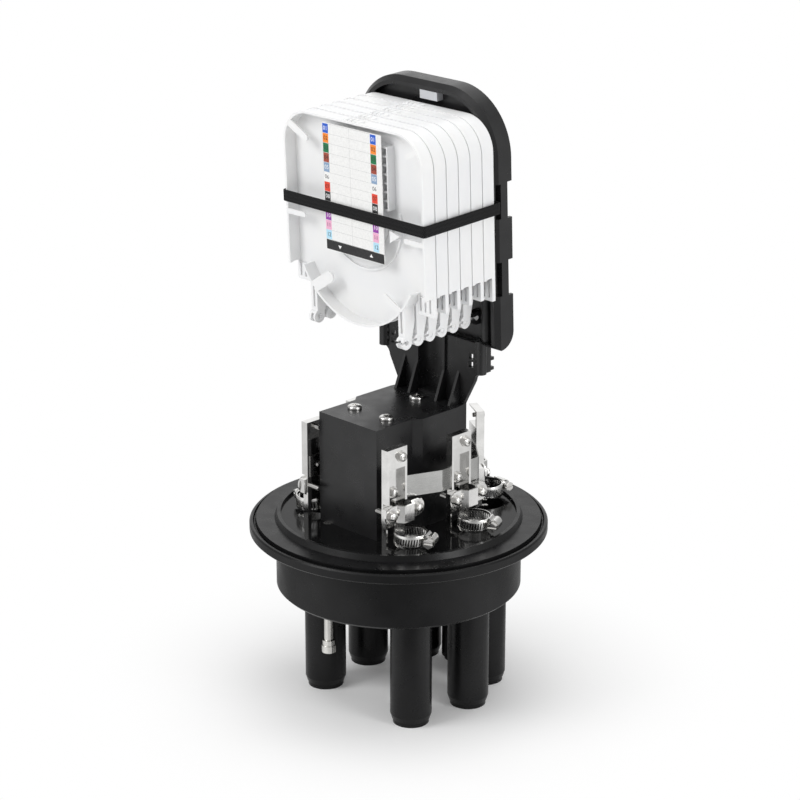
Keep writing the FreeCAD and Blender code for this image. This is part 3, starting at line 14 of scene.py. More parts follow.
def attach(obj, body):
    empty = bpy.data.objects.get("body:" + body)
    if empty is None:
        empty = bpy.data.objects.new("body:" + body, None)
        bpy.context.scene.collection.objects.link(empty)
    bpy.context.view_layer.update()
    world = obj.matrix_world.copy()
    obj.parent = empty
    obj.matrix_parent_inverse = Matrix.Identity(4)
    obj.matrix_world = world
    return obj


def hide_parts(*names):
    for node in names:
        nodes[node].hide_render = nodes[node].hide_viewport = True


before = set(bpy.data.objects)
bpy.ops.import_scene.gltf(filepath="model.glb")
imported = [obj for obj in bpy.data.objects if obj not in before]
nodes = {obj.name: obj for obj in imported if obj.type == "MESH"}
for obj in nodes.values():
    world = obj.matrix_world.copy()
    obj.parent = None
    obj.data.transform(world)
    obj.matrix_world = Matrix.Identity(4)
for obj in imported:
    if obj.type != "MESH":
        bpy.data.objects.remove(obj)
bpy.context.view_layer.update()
MM = 0.001

# %% [markdown]
# Imported solids arrive with flat facets. On the real mouldings the curved walls are smooth and
# only the true corners are sharp. Marking every edge above a set angle as sharp and smoothing the
# rest keeps both, and it moves no vertex.

# %% Smooth the curved walls
for solid in nodes.values():
    solid.data.shade_smooth()
    solid.data.set_sharp_from_angle(angle=math.radians(32))
print("smoothed", len(nodes), "solids")

# %% [markdown]
# Each finish is a small node tree. The helper below makes the parts that they share: a noise at a
# real size in metres, a ramp that turns it into two close colours or two close roughnesses, and a
# bump. Object coordinates are used, since every mesh lies in one frame, so a grain has the same
# size on every piece.

# %% Helpers for finishes


def new_finish(name):
    finish = bpy.data.materials.new(name)
    finish.use_nodes = True
    tree = finish.node_tree
    shader = next(node for node in tree.nodes if node.type == "BSDF_PRINCIPLED")
    place = tree.nodes.new("ShaderNodeTexCoord")
    return finish, tree, shader, place.outputs["Object"]


def stretched(tree, vector, scale):
    mapping = tree.nodes.new("ShaderNodeMapping")
    mapping.inputs["Scale"].default_value = scale
    tree.links.new(vector, mapping.inputs["Vector"])
    return mapping.outputs["Vector"]


def noise(tree, vector, per_metre, detail=3.0, roughness=0.55):
    texture = tree.nodes.new("ShaderNodeTexNoise")
    texture.inputs["Scale"].default_value = per_metre
    texture.inputs["Detail"].default_value = detail
    texture.inputs["Roughness"].default_value = roughness
    tree.links.new(vector, texture.inputs["Vector"])
    return texture.outputs["Fac"]


def ramp(tree, value, low, high, start=0.35, end=0.65):
    node = tree.nodes.new("ShaderNodeValToRGB")
    node.color_ramp.elements[0].position = start
    node.color_ramp.elements[1].position = end
    node.color_ramp.elements[0].color = (*low, 1.0) if isinstance(low, tuple) else (low, low, low, 1.0)
    node.color_ramp.elements[1].color = (*high, 1.0) if isinstance(high, tuple) else (high, high, high, 1.0)
    tree.links.new(value, node.inputs["Fac"])
    return node.outputs["Color"]


def bump(tree, shader, height, strength, distance):
    node = tree.nodes.new("ShaderNodeBump")
    node.inputs["Strength"].default_value = strength
    node.inputs["Distance"].default_value = distance
    tree.links.new(height, node.inputs["Height"])
    tree.links.new(node.outputs["Normal"], shader.inputs["Normal"])
    return node


def calculate(tree, operation, first, second=None, clamp=False):
    node = tree.nodes.new("ShaderNodeMath")
    node.operation = operation
    node.use_clamp = clamp
    for socket, value in zip(node.inputs, (first, second)):
        if value is None:
            continue
        if isinstance(value, (int, float)):
            socket.default_value = value
        else:
            tree.links.new(value, socket)
    return node.outputs[0]


print("helpers ready")

# %% [markdown]
# The base and the box are glass filled black polypropylene: a satin surface with a very fine spark
# grain, slightly uneven in gloss where the mould was worn. A large slow noise varies the gloss, and
# a fine one gives the grain. The plate inside the raised ring is polished like a mirror, so it gets
# a finish of its own with a much lower roughness.

# %% Black moulded plastic


def black_moulding(name, colour, gloss, shine, spread=0.05):
    finish, tree, shader, place = new_finish(name)
    slow = noise(tree, place, 28.0, 4.0)
    lighter = tuple(channel * 1.6 + 0.0015 for channel in colour)
    tree.links.new(ramp(tree, slow, colour, lighter), shader.inputs["Base Color"])
    tree.links.new(ramp(tree, noise(tree, place, 90.0), gloss - spread, gloss + spread),
                   shader.inputs["Roughness"])
    bump(tree, shader, noise(tree, place, 2600.0, 2.0), 0.08, 0.00006)
    shader.inputs["Specular IOR Level"].default_value = shine
    return finish


housing_black = black_moulding("housing_black", (0.0085, 0.0085, 0.009), 0.31, 0.46)
base_black = black_moulding("base_black", (0.0045, 0.0045, 0.0048), 0.3, 0.22)
plate_black = black_moulding("plate_black", (0.004, 0.004, 0.0042), 0.11, 0.12, 0.025)
print("made", housing_black.name, base_black.name, plate_black.name)

# %% [markdown]
# The trays are natural white ABS, thin enough to let a little light through. A small subsurface
# weight softens the edges as the real plastic does, and a slow noise tints it by a few percent.

# %% White tray plastic


def white_moulding(name, colour, gloss):
    finish, tree, shader, place = new_finish(name)
    cooler = (colour[0] * 0.965, colour[1] * 0.97, colour[2] * 0.985)
    tree.links.new(ramp(tree, noise(tree, place, 24.0, 3.0), cooler, colour), shader.inputs["Base Color"])
    tree.links.new(ramp(tree, noise(tree, place, 120.0), gloss - 0.04, gloss + 0.05),
                   shader.inputs["Roughness"])
    shader.inputs["Subsurface Weight"].default_value = 0.18
    shader.inputs["Subsurface Radius"].default_value = (1.0, 0.95, 0.9)
    shader.inputs["Subsurface Scale"].default_value = 0.0025
    bump(tree, shader, noise(tree, place, 1800.0, 2.0), 0.05, 0.00005)
    return finish


tray_white = white_moulding("tray_white", (0.86, 0.86, 0.855), 0.34)
holder_white = white_moulding("holder_white", (0.8, 0.8, 0.8), 0.42)
latch_grey = white_moulding("latch_grey", (0.62, 0.63, 0.645), 0.36)
print("made", tray_white.name, holder_white.name, latch_grey.name)

# %% [markdown]
# The brackets, yokes and the ring are rolled stainless strip. Rolling leaves fine lines along the
# strip, which blur the reflections across it. A noise stretched along one direction draws them in
# the roughness and in a very light bump.

# %% Stainless strip and plated screws


def bright_metal(name, colour, gloss, stretch, line_strength):
    finish, tree, shader, place = new_finish(name)
    shader.inputs["Metallic"].default_value = 1.0
    lines = noise(tree, stretched(tree, place, stretch), 1.0, 4.0, 0.7)
    cloud = noise(tree, place, 85.0, 2.0)
    darker = tuple(channel * 0.86 for channel in colour)
    tree.links.new(ramp(tree, cloud, darker, colour), shader.inputs["Base Color"])
    tree.links.new(ramp(tree, lines, gloss - 0.06, gloss + 0.09), shader.inputs["Roughness"])
    bump(tree, shader, lines, line_strength, 0.00005)
    return finish


strip_steel = bright_metal("strip_steel", (0.88, 0.875, 0.86), 0.13, (2400.0, 2400.0, 160.0), 0.12)
ring_steel = bright_metal("ring_steel", (0.5, 0.5, 0.49), 0.24, (120.0, 120.0, 3000.0), 0.16)
screw_steel = bright_metal("screw_steel", (0.84, 0.83, 0.81), 0.14, (900.0, 900.0, 900.0), 0.08)
valve_nickel = bright_metal("valve_nickel", (0.74, 0.73, 0.7), 0.22, (1500.0, 1500.0, 200.0), 0.1)
print("made four metals")

# %% [markdown]
# The seal is soft black rubber with a dusting of talc, so it is rough and slightly grey where the
# noise peaks.

# %% Rubber
rubber, tree, shader, place = new_finish("seal_rubber")
tree.links.new(ramp(tree, noise(tree, place, 160.0, 5.0), (0.012, 0.012, 0.012), (0.035, 0.035, 0.036)),
               shader.inputs["Base Color"])
tree.links.new(ramp(tree, noise(tree, place, 400.0), 0.5, 0.7), shader.inputs["Roughness"])
bump(tree, shader, noise(tree, place, 1500.0), 0.15, 0.0001)
print("made", rubber.name)

# %% Put the finishes on the solids
FINISH_OF = {
    "base": base_black,
    "port_plate": plate_black,
    "plate_ribs": base_black,
    "oval_port": base_black,
    "seal_ring": rubber,
    "plinth_box": housing_black,
    "carrier": housing_black,
    "tray_latch": latch_grey,
    "fixing_ring": ring_steel,
    "valve_stem": valve_nickel,
    "valve_cap": valve_nickel,
    "lid_screws": screw_steel,
    "bracket_screws": screw_steel,
    "yoke_screws": screw_steel,
    "label_card": tray_white,
    "strap": rubber,
}
for name, solid in nodes.items():
    finish = FINISH_OF.get(name)
    if finish is None:
        family = name.rsplit("_", 1)[0]
        finish = {
            "cable_port": base_black,
            "cable_bracket": strip_steel,
            "clamp_yoke": strip_steel,
            "hose_band": strip_steel,
            "worm_screw": screw_steel,
            "tray": tray_white,
            "splice_holder": holder_white,
        }[family]
    solid.data.materials.clear()
    solid.data.materials.append(finish)
print("dressed", len(nodes), "solids")

# %% [markdown]
# Small pieces are built as meshes in code. The helper turns a bmesh into an object, gives it a
# finish and lets it ride on the body that carries it.

# %% Helpers for new pieces


def absorb(mesh, other):
    """Add a second mesh under construction to the first, and free it."""
    data = bpy.data.meshes.new("part")
    other.to_mesh(data)
    other.free()
    mesh.from_mesh(data)
    bpy.data.meshes.remove(data)


def piece(name, mesh, finishes, body, smooth=35.0):
    data = bpy.data.meshes.new(name)
    bmesh.ops.recalc_face_normals(mesh, faces=mesh.faces)
    mesh.to_mesh(data)
    mesh.free()
    for finish in finishes:
        data.materials.append(finish)
    data.shade_smooth()
    data.set_sharp_from_angle(angle=math.radians(smooth))
    item = bpy.data.objects.new(name, data)
    bpy.context.scene.collection.objects.link(item)
    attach(item, body)
    return item


PIVOT = Vector((0, 30.1, 280.0)) * MM
LEAN_ANGLE = math.radians(2.3)
LEAN = Matrix.Translation(PIVOT) @ Matrix.Rotation(LEAN_ANGLE, 4, "X") @ Matrix.Translation(-PIVOT)
print("lean", round(math.degrees(LEAN.to_euler().x), 2), "degrees")

# %% [markdown]
# The strap is woven elastic, 8 mm wide. Its weave is a herringbone: short slanted threads that
# lean one way in one row and the other way in the next. The shader makes it from the distance
# along the strap and the height, so the threads run round the corner without a jump. The mesh is
# a thin band with rounded long edges that follows the outside of the tray stack.

# %% Woven strap finish
strap_weave, tree, shader, place = new_finish("strap_weave")
unwrapped = tree.nodes.new("ShaderNodeUVMap")
unwrapped.uv_map = "along"
parts = tree.nodes.new("ShaderNodeSeparateXYZ")
tree.links.new(unwrapped.outputs["UV"], parts.inputs["Vector"])
THREAD = 1.15 * MM
rows = calculate(tree, "DIVIDE", parts.outputs["Y"], THREAD * 1.2)
row_fraction = calculate(tree, "PINGPONG", rows, 1.0)
slant = calculate(tree, "MULTIPLY", row_fraction, THREAD * 0.9)
along = calculate(tree, "ADD", parts.outputs["X"], slant)
turns = calculate(tree, "MULTIPLY", along, 2 * math.pi / THREAD)
wave = calculate(tree, "SINE", turns)
thread_height = calculate(tree, "MULTIPLY_ADD", wave, 0.5)
thread_height.node.inputs[2].default_value = 0.5
fibre = noise(tree, stretched(tree, unwrapped.outputs["UV"], (5200.0, 1300.0, 1.0)), 1.0, 3.0)
height = calculate(tree, "ADD", thread_height, calculate(tree, "MULTIPLY", fibre, 0.35))
# The colour follows the thread height: darker in the valleys between the threads and lighter on their crowns,
# which is painted shade of the weave's relief; the fibre noise in it is the yarn's own uneven tone.
tree.links.new(ramp(tree, height, (0.001, 0.001, 0.0012), (0.014, 0.014, 0.015), 0.25, 1.15),
               shader.inputs["Base Color"])
tree.links.new(ramp(tree, fibre, 0.62, 0.82), shader.inputs["Roughness"])
shader.inputs["Sheen Weight"].default_value = 0.05
shader.inputs["Specular IOR Level"].default_value = 0.2
shader.inputs["Sheen Roughness"].default_value = 0.4
bump(tree, shader, height, 0.7, 0.0003)
print("strap finish has", len(tree.nodes), "nodes")

# %% Strap


def rounded_path(corners, bends, steps=8):
    """Points along a path of straight runs with a round bend at each inner corner."""
    path = [Vector(corners[0])]
    for before, corner, after, bend in zip(corners, corners[1:], corners[2:], bends):
        corner = Vector(corner)
        back = (Vector(before) - corner).normalized()
        ahead = (Vector(after) - corner).normalized()
        half = back.angle(ahead) / 2
        reach = bend / math.tan(half)
        centre = corner + (back + ahead).normalized() * (bend / math.sin(half))
        first = corner + back * reach - centre
        last = corner + ahead * reach - centre
        sweep = first.angle(last)
        for step in range(steps + 1):
            part = step / steps
            spread = (first * math.sin((1 - part) * sweep) + last * math.sin(part * sweep)) / math.sin(sweep)
            path.append(centre + spread)
    path.append(Vector(corners[-1]))
    return path


def divided(path, longest):
    """The same path with no run longer than the given length."""
    points = [path[0]]
    for start, end in zip(path, path[1:]):
        count = max(1, math.ceil((end - start).length / longest))
        points += [start.lerp(end, step / count) for step in range(1, count + 1)]
    return points


def strap_mesh():
    """The closed band: a rounded section swept along a path that is open at the back."""
    outer, gauge, end = 67.5, 1.2, 59.5
    middle = outer - gauge / 2
    front, rear = -40.4 + gauge / 2, 31.3
    corner_bend, longest_run = 1.4, 6
    corners = [(-end, rear, 0), (-middle, rear, 0), (-middle, front, 0), (middle, front, 0),
               (middle, rear, 0), (end, rear, 0)]
    path = rounded_path([Vector(corner) * MM for corner in corners], [corner_bend * MM] * 4)
    path = divided(path, longest_run * MM)
    low, high = 357.4, 365.2
    edge = 0.35
    half = gauge / 2
    inset = half - edge * 0.6
    waist = (low + high) / 2
    section = [(-half, low + edge), (-inset, low), (inset, low), (half, low + edge), (half, waist),
               (half, high - edge), (inset, high), (-inset, high), (-half, high - edge), (-half, waist)]
    mesh = bmesh.new()
    layer = mesh.loops.layers.uv.new("along")
    rings = []
    distances = []
    travelled = 0.0
    for index, point in enumerate(path):
        before = path[max(index - 1, 0)]
        after = path[min(index + 1, len(path) - 1)]
        ahead = (after - before).normalized()
        left = Vector((-ahead.y, ahead.x, 0))
        if index:
            travelled += (point - path[index - 1]).length
        distances.append(travelled)
        rings.append([mesh.verts.new(point + left * (-x * MM) + Vector((0, 0, z * MM))) for x, z in section])
    count = len(section)
    for index in range(len(rings) - 1):
        for side in range(count):
            other = (side + 1) % count
            face = mesh.faces.new((rings[index][side], rings[index + 1][side],
                                   rings[index + 1][other], rings[index][other]))
            spots = [(index, side), (index + 1, side), (index + 1, other), (index, other)]
            for loop, (step, corner) in zip(face.loops, spots):
                loop[layer].uv = (distances[step], section[corner][1] * MM)
    mesh.faces.new(rings[0][::-1])
    mesh.faces.new(rings[-1])
    mesh.transform(LEAN)
    return mesh


strap = piece("strap_band", strap_mesh(), [strap_weave], "closure_base")
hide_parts("strap")
print("strap faces", len(strap.data.polygons))

# %% [markdown]
# A cross recess head is a shallow dome with a cross cut into it. The dome is turned from a
# profile, and the recess is a real hole: two slim tapered blocks, cut away with a boolean. One
# head is made and cut once, and its mesh is copied to every screw, with a split washer and a flat
# washer under it.

# %% One cross recess screw head


def turned(profile, segments=40, angle=2 * math.pi):
    """A mesh turned about Z from (radius, height) points."""
    mesh = bmesh.new()
    points = [mesh.verts.new((r * MM, 0, z * MM)) for r, z in profile]
    edges = [mesh.edges.new(pair) for pair in zip(points, points[1:])]
    bmesh.ops.spin(mesh, geom=points + edges, cent=(0, 0, 0), axis=(0, 0, 1), angle=angle,
                   steps=segments, use_duplicate=False)
    bmesh.ops.remove_doubles(mesh, verts=mesh.verts, dist=1e-6)
    return mesh


def block(mesh, low, high, taper=1.0, matrix=None):
    """A block whose bottom is scaled by the taper."""
    verts = []
    for z, scale in ((low[2], taper), (high[2], 1.0)):
        for x, y in ((low[0], low[1]), (high[0], low[1]), (high[0], high[1]), (low[0], high[1])):
            verts.append(mesh.verts.new((x * scale * MM, y * scale * MM, z * MM)))
    quads = ((0, 3, 2, 1), (4, 5, 6, 7), (0, 1, 5, 4), (1, 2, 6, 5), (2, 3, 7, 6), (3, 0, 4, 7))
    for quad in quads:
        mesh.faces.new([verts[i] for i in quad])
    if matrix is not None:
        bmesh.ops.transform(mesh, matrix=matrix, verts=verts)
    return verts


def scratch(name, mesh):
    """A hidden object for a boolean, removed after use."""
    data = bpy.data.meshes.new(name)
    bmesh.ops.recalc_face_normals(mesh, faces=mesh.faces)
    mesh.to_mesh(data)
    mesh.free()
    item = bpy.data.objects.new(name, data)
    bpy.context.scene.collection.objects.link(item)
    return item


def carved(body, cutter):
    """The body's mesh with the cutter's taken away."""
    knife = body.modifiers.new("knife", "BOOLEAN")
    knife.operation = "DIFFERENCE"
    knife.solver = "EXACT"
    knife.object = cutter
    graph = bpy.context.evaluated_depsgraph_get()
    data = bpy.data.meshes.new_from_object(body.evaluated_get(graph))
    for item in (body, cutter):
        old = item.data
        bpy.data.objects.remove(item)
        bpy.data.meshes.remove(old)
    return data


def recess_cutter(arm, width, top, depth):
    mesh = bmesh.new()
    block(mesh, (-arm, -width / 2, top - depth), (arm, width / 2, top + 1), 0.62)
    cross = scratch("recess_a", mesh)
    mesh = bmesh.new()
    block(mesh, (-width / 2, -arm, top - depth), (width / 2, arm, top + 1), 0.62)
    other = scratch("recess_b", mesh)
    join = cross.modifiers.new("join", "BOOLEAN")
    join.operation = "UNION"
    join.solver = "EXACT"
    join.object = other
    graph = bpy.context.evaluated_depsgraph_get()
    data = bpy.data.meshes.new_from_object(cross.evaluated_get(graph))
    for item in (cross, other):
        old = item.data
        bpy.data.objects.remove(item)
        bpy.data.meshes.remove(old)
    result = bpy.data.objects.new("recess", data)
    bpy.context.scene.collection.objects.link(result)
    return result


def pan_head(radius, height, recess):
    """A domed head with its cross, its seat on Z = 0."""
    rim, crown, steps = height * 0.42, height * 0.58, 8
    profile = [(0, 0), (radius - 0.25, 0), (radius, 0.2), (radius, rim)]
    for step in range(1, steps):
        angle = step / steps * math.pi / 2
        inward = 0.32 * (1 - math.cos(angle)) + 0.68 * (step / steps) ** 2.2
        profile.append((radius - radius * inward, rim + crown * math.sin(angle)))
    profile.append((0.0, rim + crown))
    head = scratch("head_blank", turned(profile))
    return carved(head, recess_cutter(recess, recess * 0.42, height, height * 0.62))


small_head = pan_head(3.1, 2.3, 1.75)
lid_head = pan_head(4.9, 3.1, 2.5)
print("small head", len(small_head.polygons), "faces, lid head", len(lid_head.polygons), "faces")

# %% [markdown]
# The shank shows behind the yokes, so it has a rolled thread. A helix would need many faces for
# little gain at this size, so a stack of fine rings with the pitch of the thread stands for it.

# %% Threaded shanks and washers


def thread_mesh(mesh, radius, start, length, pitch=0.7):
    profile = []
    depth, tip, end = 0.32, 0.3, start - length
    z = start
    while z > end + pitch:
        profile += [(radius, z), (radius - depth, z - pitch * 0.5)]
        z -= pitch
    profile += [(radius - tip, end + tip), (radius - tip - 0.4, end), (0, end)]
    absorb(mesh, turned(profile, 20))


def washer_mesh(mesh, radius, bottom, gauge, hole, split=False):
    edge = 0.12
    profile = [(hole, bottom), (radius - edge, bottom), (radius, bottom + edge),
               (radius, bottom + gauge - edge), (radius - edge, bottom + gauge),
               (hole, bottom + gauge), (hole, bottom)]
    angle = math.radians(352) if split else 2 * math.pi
    ring = turned(profile, 40, angle)
    if split:
        bmesh.ops.holes_fill(ring, edges=[e for e in ring.edges if e.is_boundary], sides=8)
    absorb(mesh, ring)


def fastener(head, seat, washers, shank_radius, shank_length):
    """A screw along +Z whose washers sit on Z = seat."""
    mesh = bmesh.new()
    top = seat
    for radius, gauge, split in washers:
        washer_mesh(mesh, radius, top, gauge, shank_radius + 0.2, split)
        top += gauge
    start = len(mesh.verts)
    mesh.from_mesh(head)
    mesh.verts.ensure_lookup_table()
    bmesh.ops.translate(mesh, verts=mesh.verts[start:], vec=(0, 0, top * MM))
    thread_mesh(mesh, shank_radius, top, shank_length + top - seat)
    return mesh


print("fastener parts ready")

# %% [markdown]
# The screws stand where the fixings are: six brackets, three on each side of the box, the left
# ones mirrored. The same few sizes place them here and in the solids.

# %% Where the fixings stand
SHIFT = 4.0
PLACES = [(42.0, -46.6, 0.0), (52.0, 4.7, 0.0), (24.0, 52.5, 60.0)]


def fixing_frames():
    """(matrix, flip) for each bracket: X outward, Y along the sheet, Z up."""
    frames = []
    for sign in (-1, 1):
        for x, y, angle in PLACES:
            turn = math.radians(angle if sign > 0 else 180 - angle)
            matrix = Matrix.Translation(((SHIFT + sign * x) * MM, y * MM, 0)) @ Matrix.Rotation(turn, 4, "Z")
            frames.append((matrix, -1 if sign < 0 else 1))
    return frames


OUTWARD = Matrix.Rotation(math.radians(90), 4, "Y")


def screws(name, spots):
    """One mesh of fasteners at (u, v, z, head, washers, radius, length) in every bracket's frame."""
    whole = bmesh.new()
    for matrix, flip in fixing_frames():
        for index, (u, v, z, head, washers, radius, length) in enumerate(spots):
            one = fastener(head, 0.0, washers, radius, length)
            spin = Matrix.Rotation(math.radians(31 * index + 17 + 40 * matrix.translation.y / 0.05), 4, "Z")
            one.transform(matrix @ Matrix.Translation((u * MM, flip * v * MM, z * MM)) @ OUTWARD @ spin)
            absorb(whole, one)
    return piece(name, whole, [screw_steel], "closure_base", 30.0)


WASHERS = [(4.0, 0.7, False), (3.3, 0.7, True)]
SHANK_RADIUS = 1.8
YOKE_FACE, YOKE_V, YOKE_SCREW_V, YOKE_Z = 1.4, 6.0, 12.3, 160.0
bracket_screws = screws("bracket_fasteners", [
    (0.0, 3.5, 200.0, small_head, WASHERS, SHANK_RADIUS, 5.0),
    (-4.4, 0.0, 174.0, small_head, WASHERS, SHANK_RADIUS, 3.0),
])
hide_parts("bracket_screws")
yoke_screws = screws("yoke_fasteners", [
    (YOKE_FACE, YOKE_V - YOKE_SCREW_V, YOKE_Z, small_head, WASHERS, SHANK_RADIUS, 15.0),
    (YOKE_FACE, YOKE_V + YOKE_SCREW_V, YOKE_Z, small_head, WASHERS, SHANK_RADIUS, 10.0),
])
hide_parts("yoke_screws")
print("bracket and yoke screws:", len(bracket_screws.data.polygons) + len(yoke_screws.data.polygons), "faces")

# %% Lid screws
LID_TOP = 214.3
LID_SPOTS = [(15.4, -27.0, 20), (-15.4, -27.0, 65), (0.0, 17.4, 40)]
whole = bmesh.new()
for x, y, spin in LID_SPOTS:
    one = fastener(lid_head, 0.0, [], 1.95, 16.0)
    one.transform(Matrix.Translation((x * MM, y * MM, LID_TOP * MM)) @
                  Matrix.Rotation(math.radians(spin), 4, "Z"))
    absorb(whole, one)
lid_screws = piece("lid_fasteners", whole, [screw_steel], "closure_base", 30.0)
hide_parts("lid_screws")
print("lid screws:", len(lid_screws.data.polygons), "faces")

# %% [markdown]
# The card in the first tray numbers its twelve splices. The printed colours are flat on the real
# card, so they are thin tiles a few hundredths of a millimetre proud of it, each with a paper
# finish of its own colour, and ruled lines between the rows. The digits are plain numbers.

# %% Paper finishes


def paper(name, colour):
    finish, tree, shader, place = new_finish(name)
    paler = tuple(min(channel * 1.08 + 0.01, 0.95) for channel in colour)
    tree.links.new(ramp(tree, noise(tree, place, 700.0, 4.0), colour, paler), shader.inputs["Base Color"])
    tree.links.new(ramp(tree, noise(tree, place, 300.0), 0.42, 0.55), shader.inputs["Roughness"])
    bump(tree, shader, noise(tree, place, 2200.0), 0.08, 0.00004)
    return finish


CELL_COLOURS = [
    ("blue", (0.005, 0.095, 0.56)), ("orange", (0.86, 0.23, 0.012)), ("green", (0.0, 0.17, 0.055)),
    ("brown", (0.33, 0.055, 0.028)), ("slate", (0.23, 0.34, 0.50)), ("white", (0.82, 0.82, 0.81)),
    ("red", (0.72, 0.045, 0.015)), ("black", (0.012, 0.012, 0.013)), ("yellow", (0.85, 0.62, 0.02)),
    ("violet", (0.29, 0.035, 0.36)), ("rose", (0.80, 0.40, 0.58)), ("aqua", (0.42, 0.68, 0.83)),
]
cell_paper = {name: paper("paper_" + name, colour) for name, colour in CELL_COLOURS}
ink = paper("paper_ink", (0.012, 0.012, 0.013))
rule_grey = paper("paper_rule", (0.42, 0.42, 0.42))
card_white = paper("paper_card", (0.80, 0.80, 0.79))
nodes["label_card"].data.materials.clear()
nodes["label_card"].data.materials.append(card_white)
print(len(cell_paper) + 3, "papers")

# %% The printed table
CARD = {"left": -27.0, "right": 28.4, "top": 418.6, "bottom": 331.2, "face": -38.7}


def tile(mesh, left, right, low, high, lift, index):
    """A thin tile on the card's face, seen from the front."""
    y = (CARD["face"] - lift) * MM
    back = (CARD["face"] + 0.02) * MM
    verts = [mesh.verts.new((x * MM, depth, z * MM)) for depth in (y, back)
             for x, z in ((left, low), (right, low), (right, high), (left, high))]
    for quad in ((0, 1, 2, 3), (5, 4, 7, 6), (0, 4, 5, 1), (1, 5, 6, 2), (2, 6, 7, 3), (3, 7, 4, 0)):
        face = mesh.faces.new([verts[i] for i in quad])
        face.material_index = index


table = bmesh.new()
table_finishes = [cell_paper[name] for name, _ in CELL_COLOURS] + [ink, rule_grey]
TOP, FOOT, ROWS = 418.0, 338.4, 12
INK_INDEX, RULE_INDEX = 12, 13
CELL_GAP, HALF_RULE, CELL_LIFT, RULE_LIFT, BORDER = 0.12, 0.07, 0.03, 0.02, 0.3
row_height = (TOP - FOOT) / ROWS
columns = ((-26.7, -21.4), (18.3, 23.6))
rule_left, rule_right = columns[0][1], columns[1][0]
for row in range(ROWS):
    high = TOP - row * row_height
    low = high - row_height
    for left, right in columns:
        tile(table, left, right, low + CELL_GAP, high - CELL_GAP, CELL_LIFT, row)
    tile(table, rule_left, rule_right, low - HALF_RULE, low + HALF_RULE, RULE_LIFT, RULE_INDEX)
middle = (rule_left + rule_right) / 2
tile(table, middle - HALF_RULE, middle + HALF_RULE, FOOT, TOP, RULE_LIFT + 0.001, RULE_INDEX)
tile(table, CARD["left"] + BORDER, CARD["right"] - BORDER, CARD["bottom"] + BORDER, FOOT - 0.25,
     CELL_LIFT, INK_INDEX)
tile(table, rule_left, rule_right, TOP - HALF_RULE, TOP + HALF_RULE, RULE_LIFT, RULE_INDEX)
table.transform(LEAN)
printed_table = piece("card_table", table, table_finishes, "tray_1")
print("table tiles:", len(printed_table.data.polygons) // 6)

# %% The digits and the two arrows
digit_white = paper("paper_digit", (0.84, 0.84, 0.84))
DIGIT_HEIGHT = 4.0


def digits(name, text, x, z, height):
    curve = bpy.data.curves.new(name, "FONT")
    curve.body = text
    curve.size = height * MM
    curve.align_x = "CENTER"
    curve.align_y = "CENTER"
    curve.extrude = 0.00001
    curve.resolution_u = 3
    item = bpy.data.objects.new(name, curve)
    bpy.context.scene.collection.objects.link(item)
    item.matrix_world = Matrix.Translation((x * MM, (CARD["face"] - 0.04) * MM, z * MM)) @ \
        Matrix.Rotation(math.radians(90), 4, "X")
    graph = bpy.context.evaluated_depsgraph_get()
    data = bpy.data.meshes.new_from_object(item.evaluated_get(graph))
    data.transform(LEAN @ item.matrix_world)
    bpy.data.objects.remove(item)
    bpy.data.curves.remove(curve)
    return data


def joined(name, meshes, finish):
    mesh = bmesh.new()
    for data in meshes:
        mesh.from_mesh(data)
        bpy.data.meshes.remove(data)
    for face in mesh.faces:
        face.material_index = 0
    return piece(name, mesh, [finish], "tray_1")


dark_rows = {"orange", "brown", "white", "red", "yellow", "rose", "aqua", "green"}
pale, dark = [], []
for row, (name, _) in enumerate(CELL_COLOURS):
    z = TOP - (row + 0.5) * row_height
    for left, right in columns:
        store = dark if name in dark_rows else pale
        store.append(digits(f"digit_{row}", f"{row + 1:02d}", (left + right) / 2, z, DIGIT_HEIGHT))
digits_pale = joined("card_digits_pale", pale, digit_white)
digits_dark = joined("card_digits_dark", dark, ink)
arrows = bmesh.new()
for x, way in ((-14.0, -1), (16.0, 1)):
    y = (CARD["face"] - 0.05) * MM
    z = (CARD["bottom"] + FOOT) / 2
    points = [(x - 1.6, z - way * 0.9), (x + 1.6, z - way * 0.9), (x, z + way * 1.4)]
    corners = [arrows.verts.new((a * MM, y, b * MM)) for a, b in points]
    arrows.faces.new(corners)
arrows.transform(LEAN)
piece("card_arrows", arrows, [digit_white], "tray_1")
print("digits:", len(digits_pale.data.polygons) + len(digits_dark.data.polygons), "faces")

# %% [markdown]
# A hose band is a strip with pressed slots, pulled tight by a worm screw in a housing. From above
# it looks like a ring, but it sags outward where the housing is heavy, and its tail lies over the
# start of the strip. The band is swept round a circle with its slots left open, the housing is an
# arched saddle with turned edges, and the screw has a hexagon head with a slot.

# %% Hose band finish and sizes
band_steel = bright_metal("band_steel", (0.82, 0.815, 0.8), 0.17, (1500.0, 1500.0, 400.0), 0.14)
BAND = {"radius": 11.8, "gauge": 0.8, "low": 138.4, "height": 9.0, "u": 6.2, "v": 6.5, "turn": 25.0,
        "saddle": 3.3}


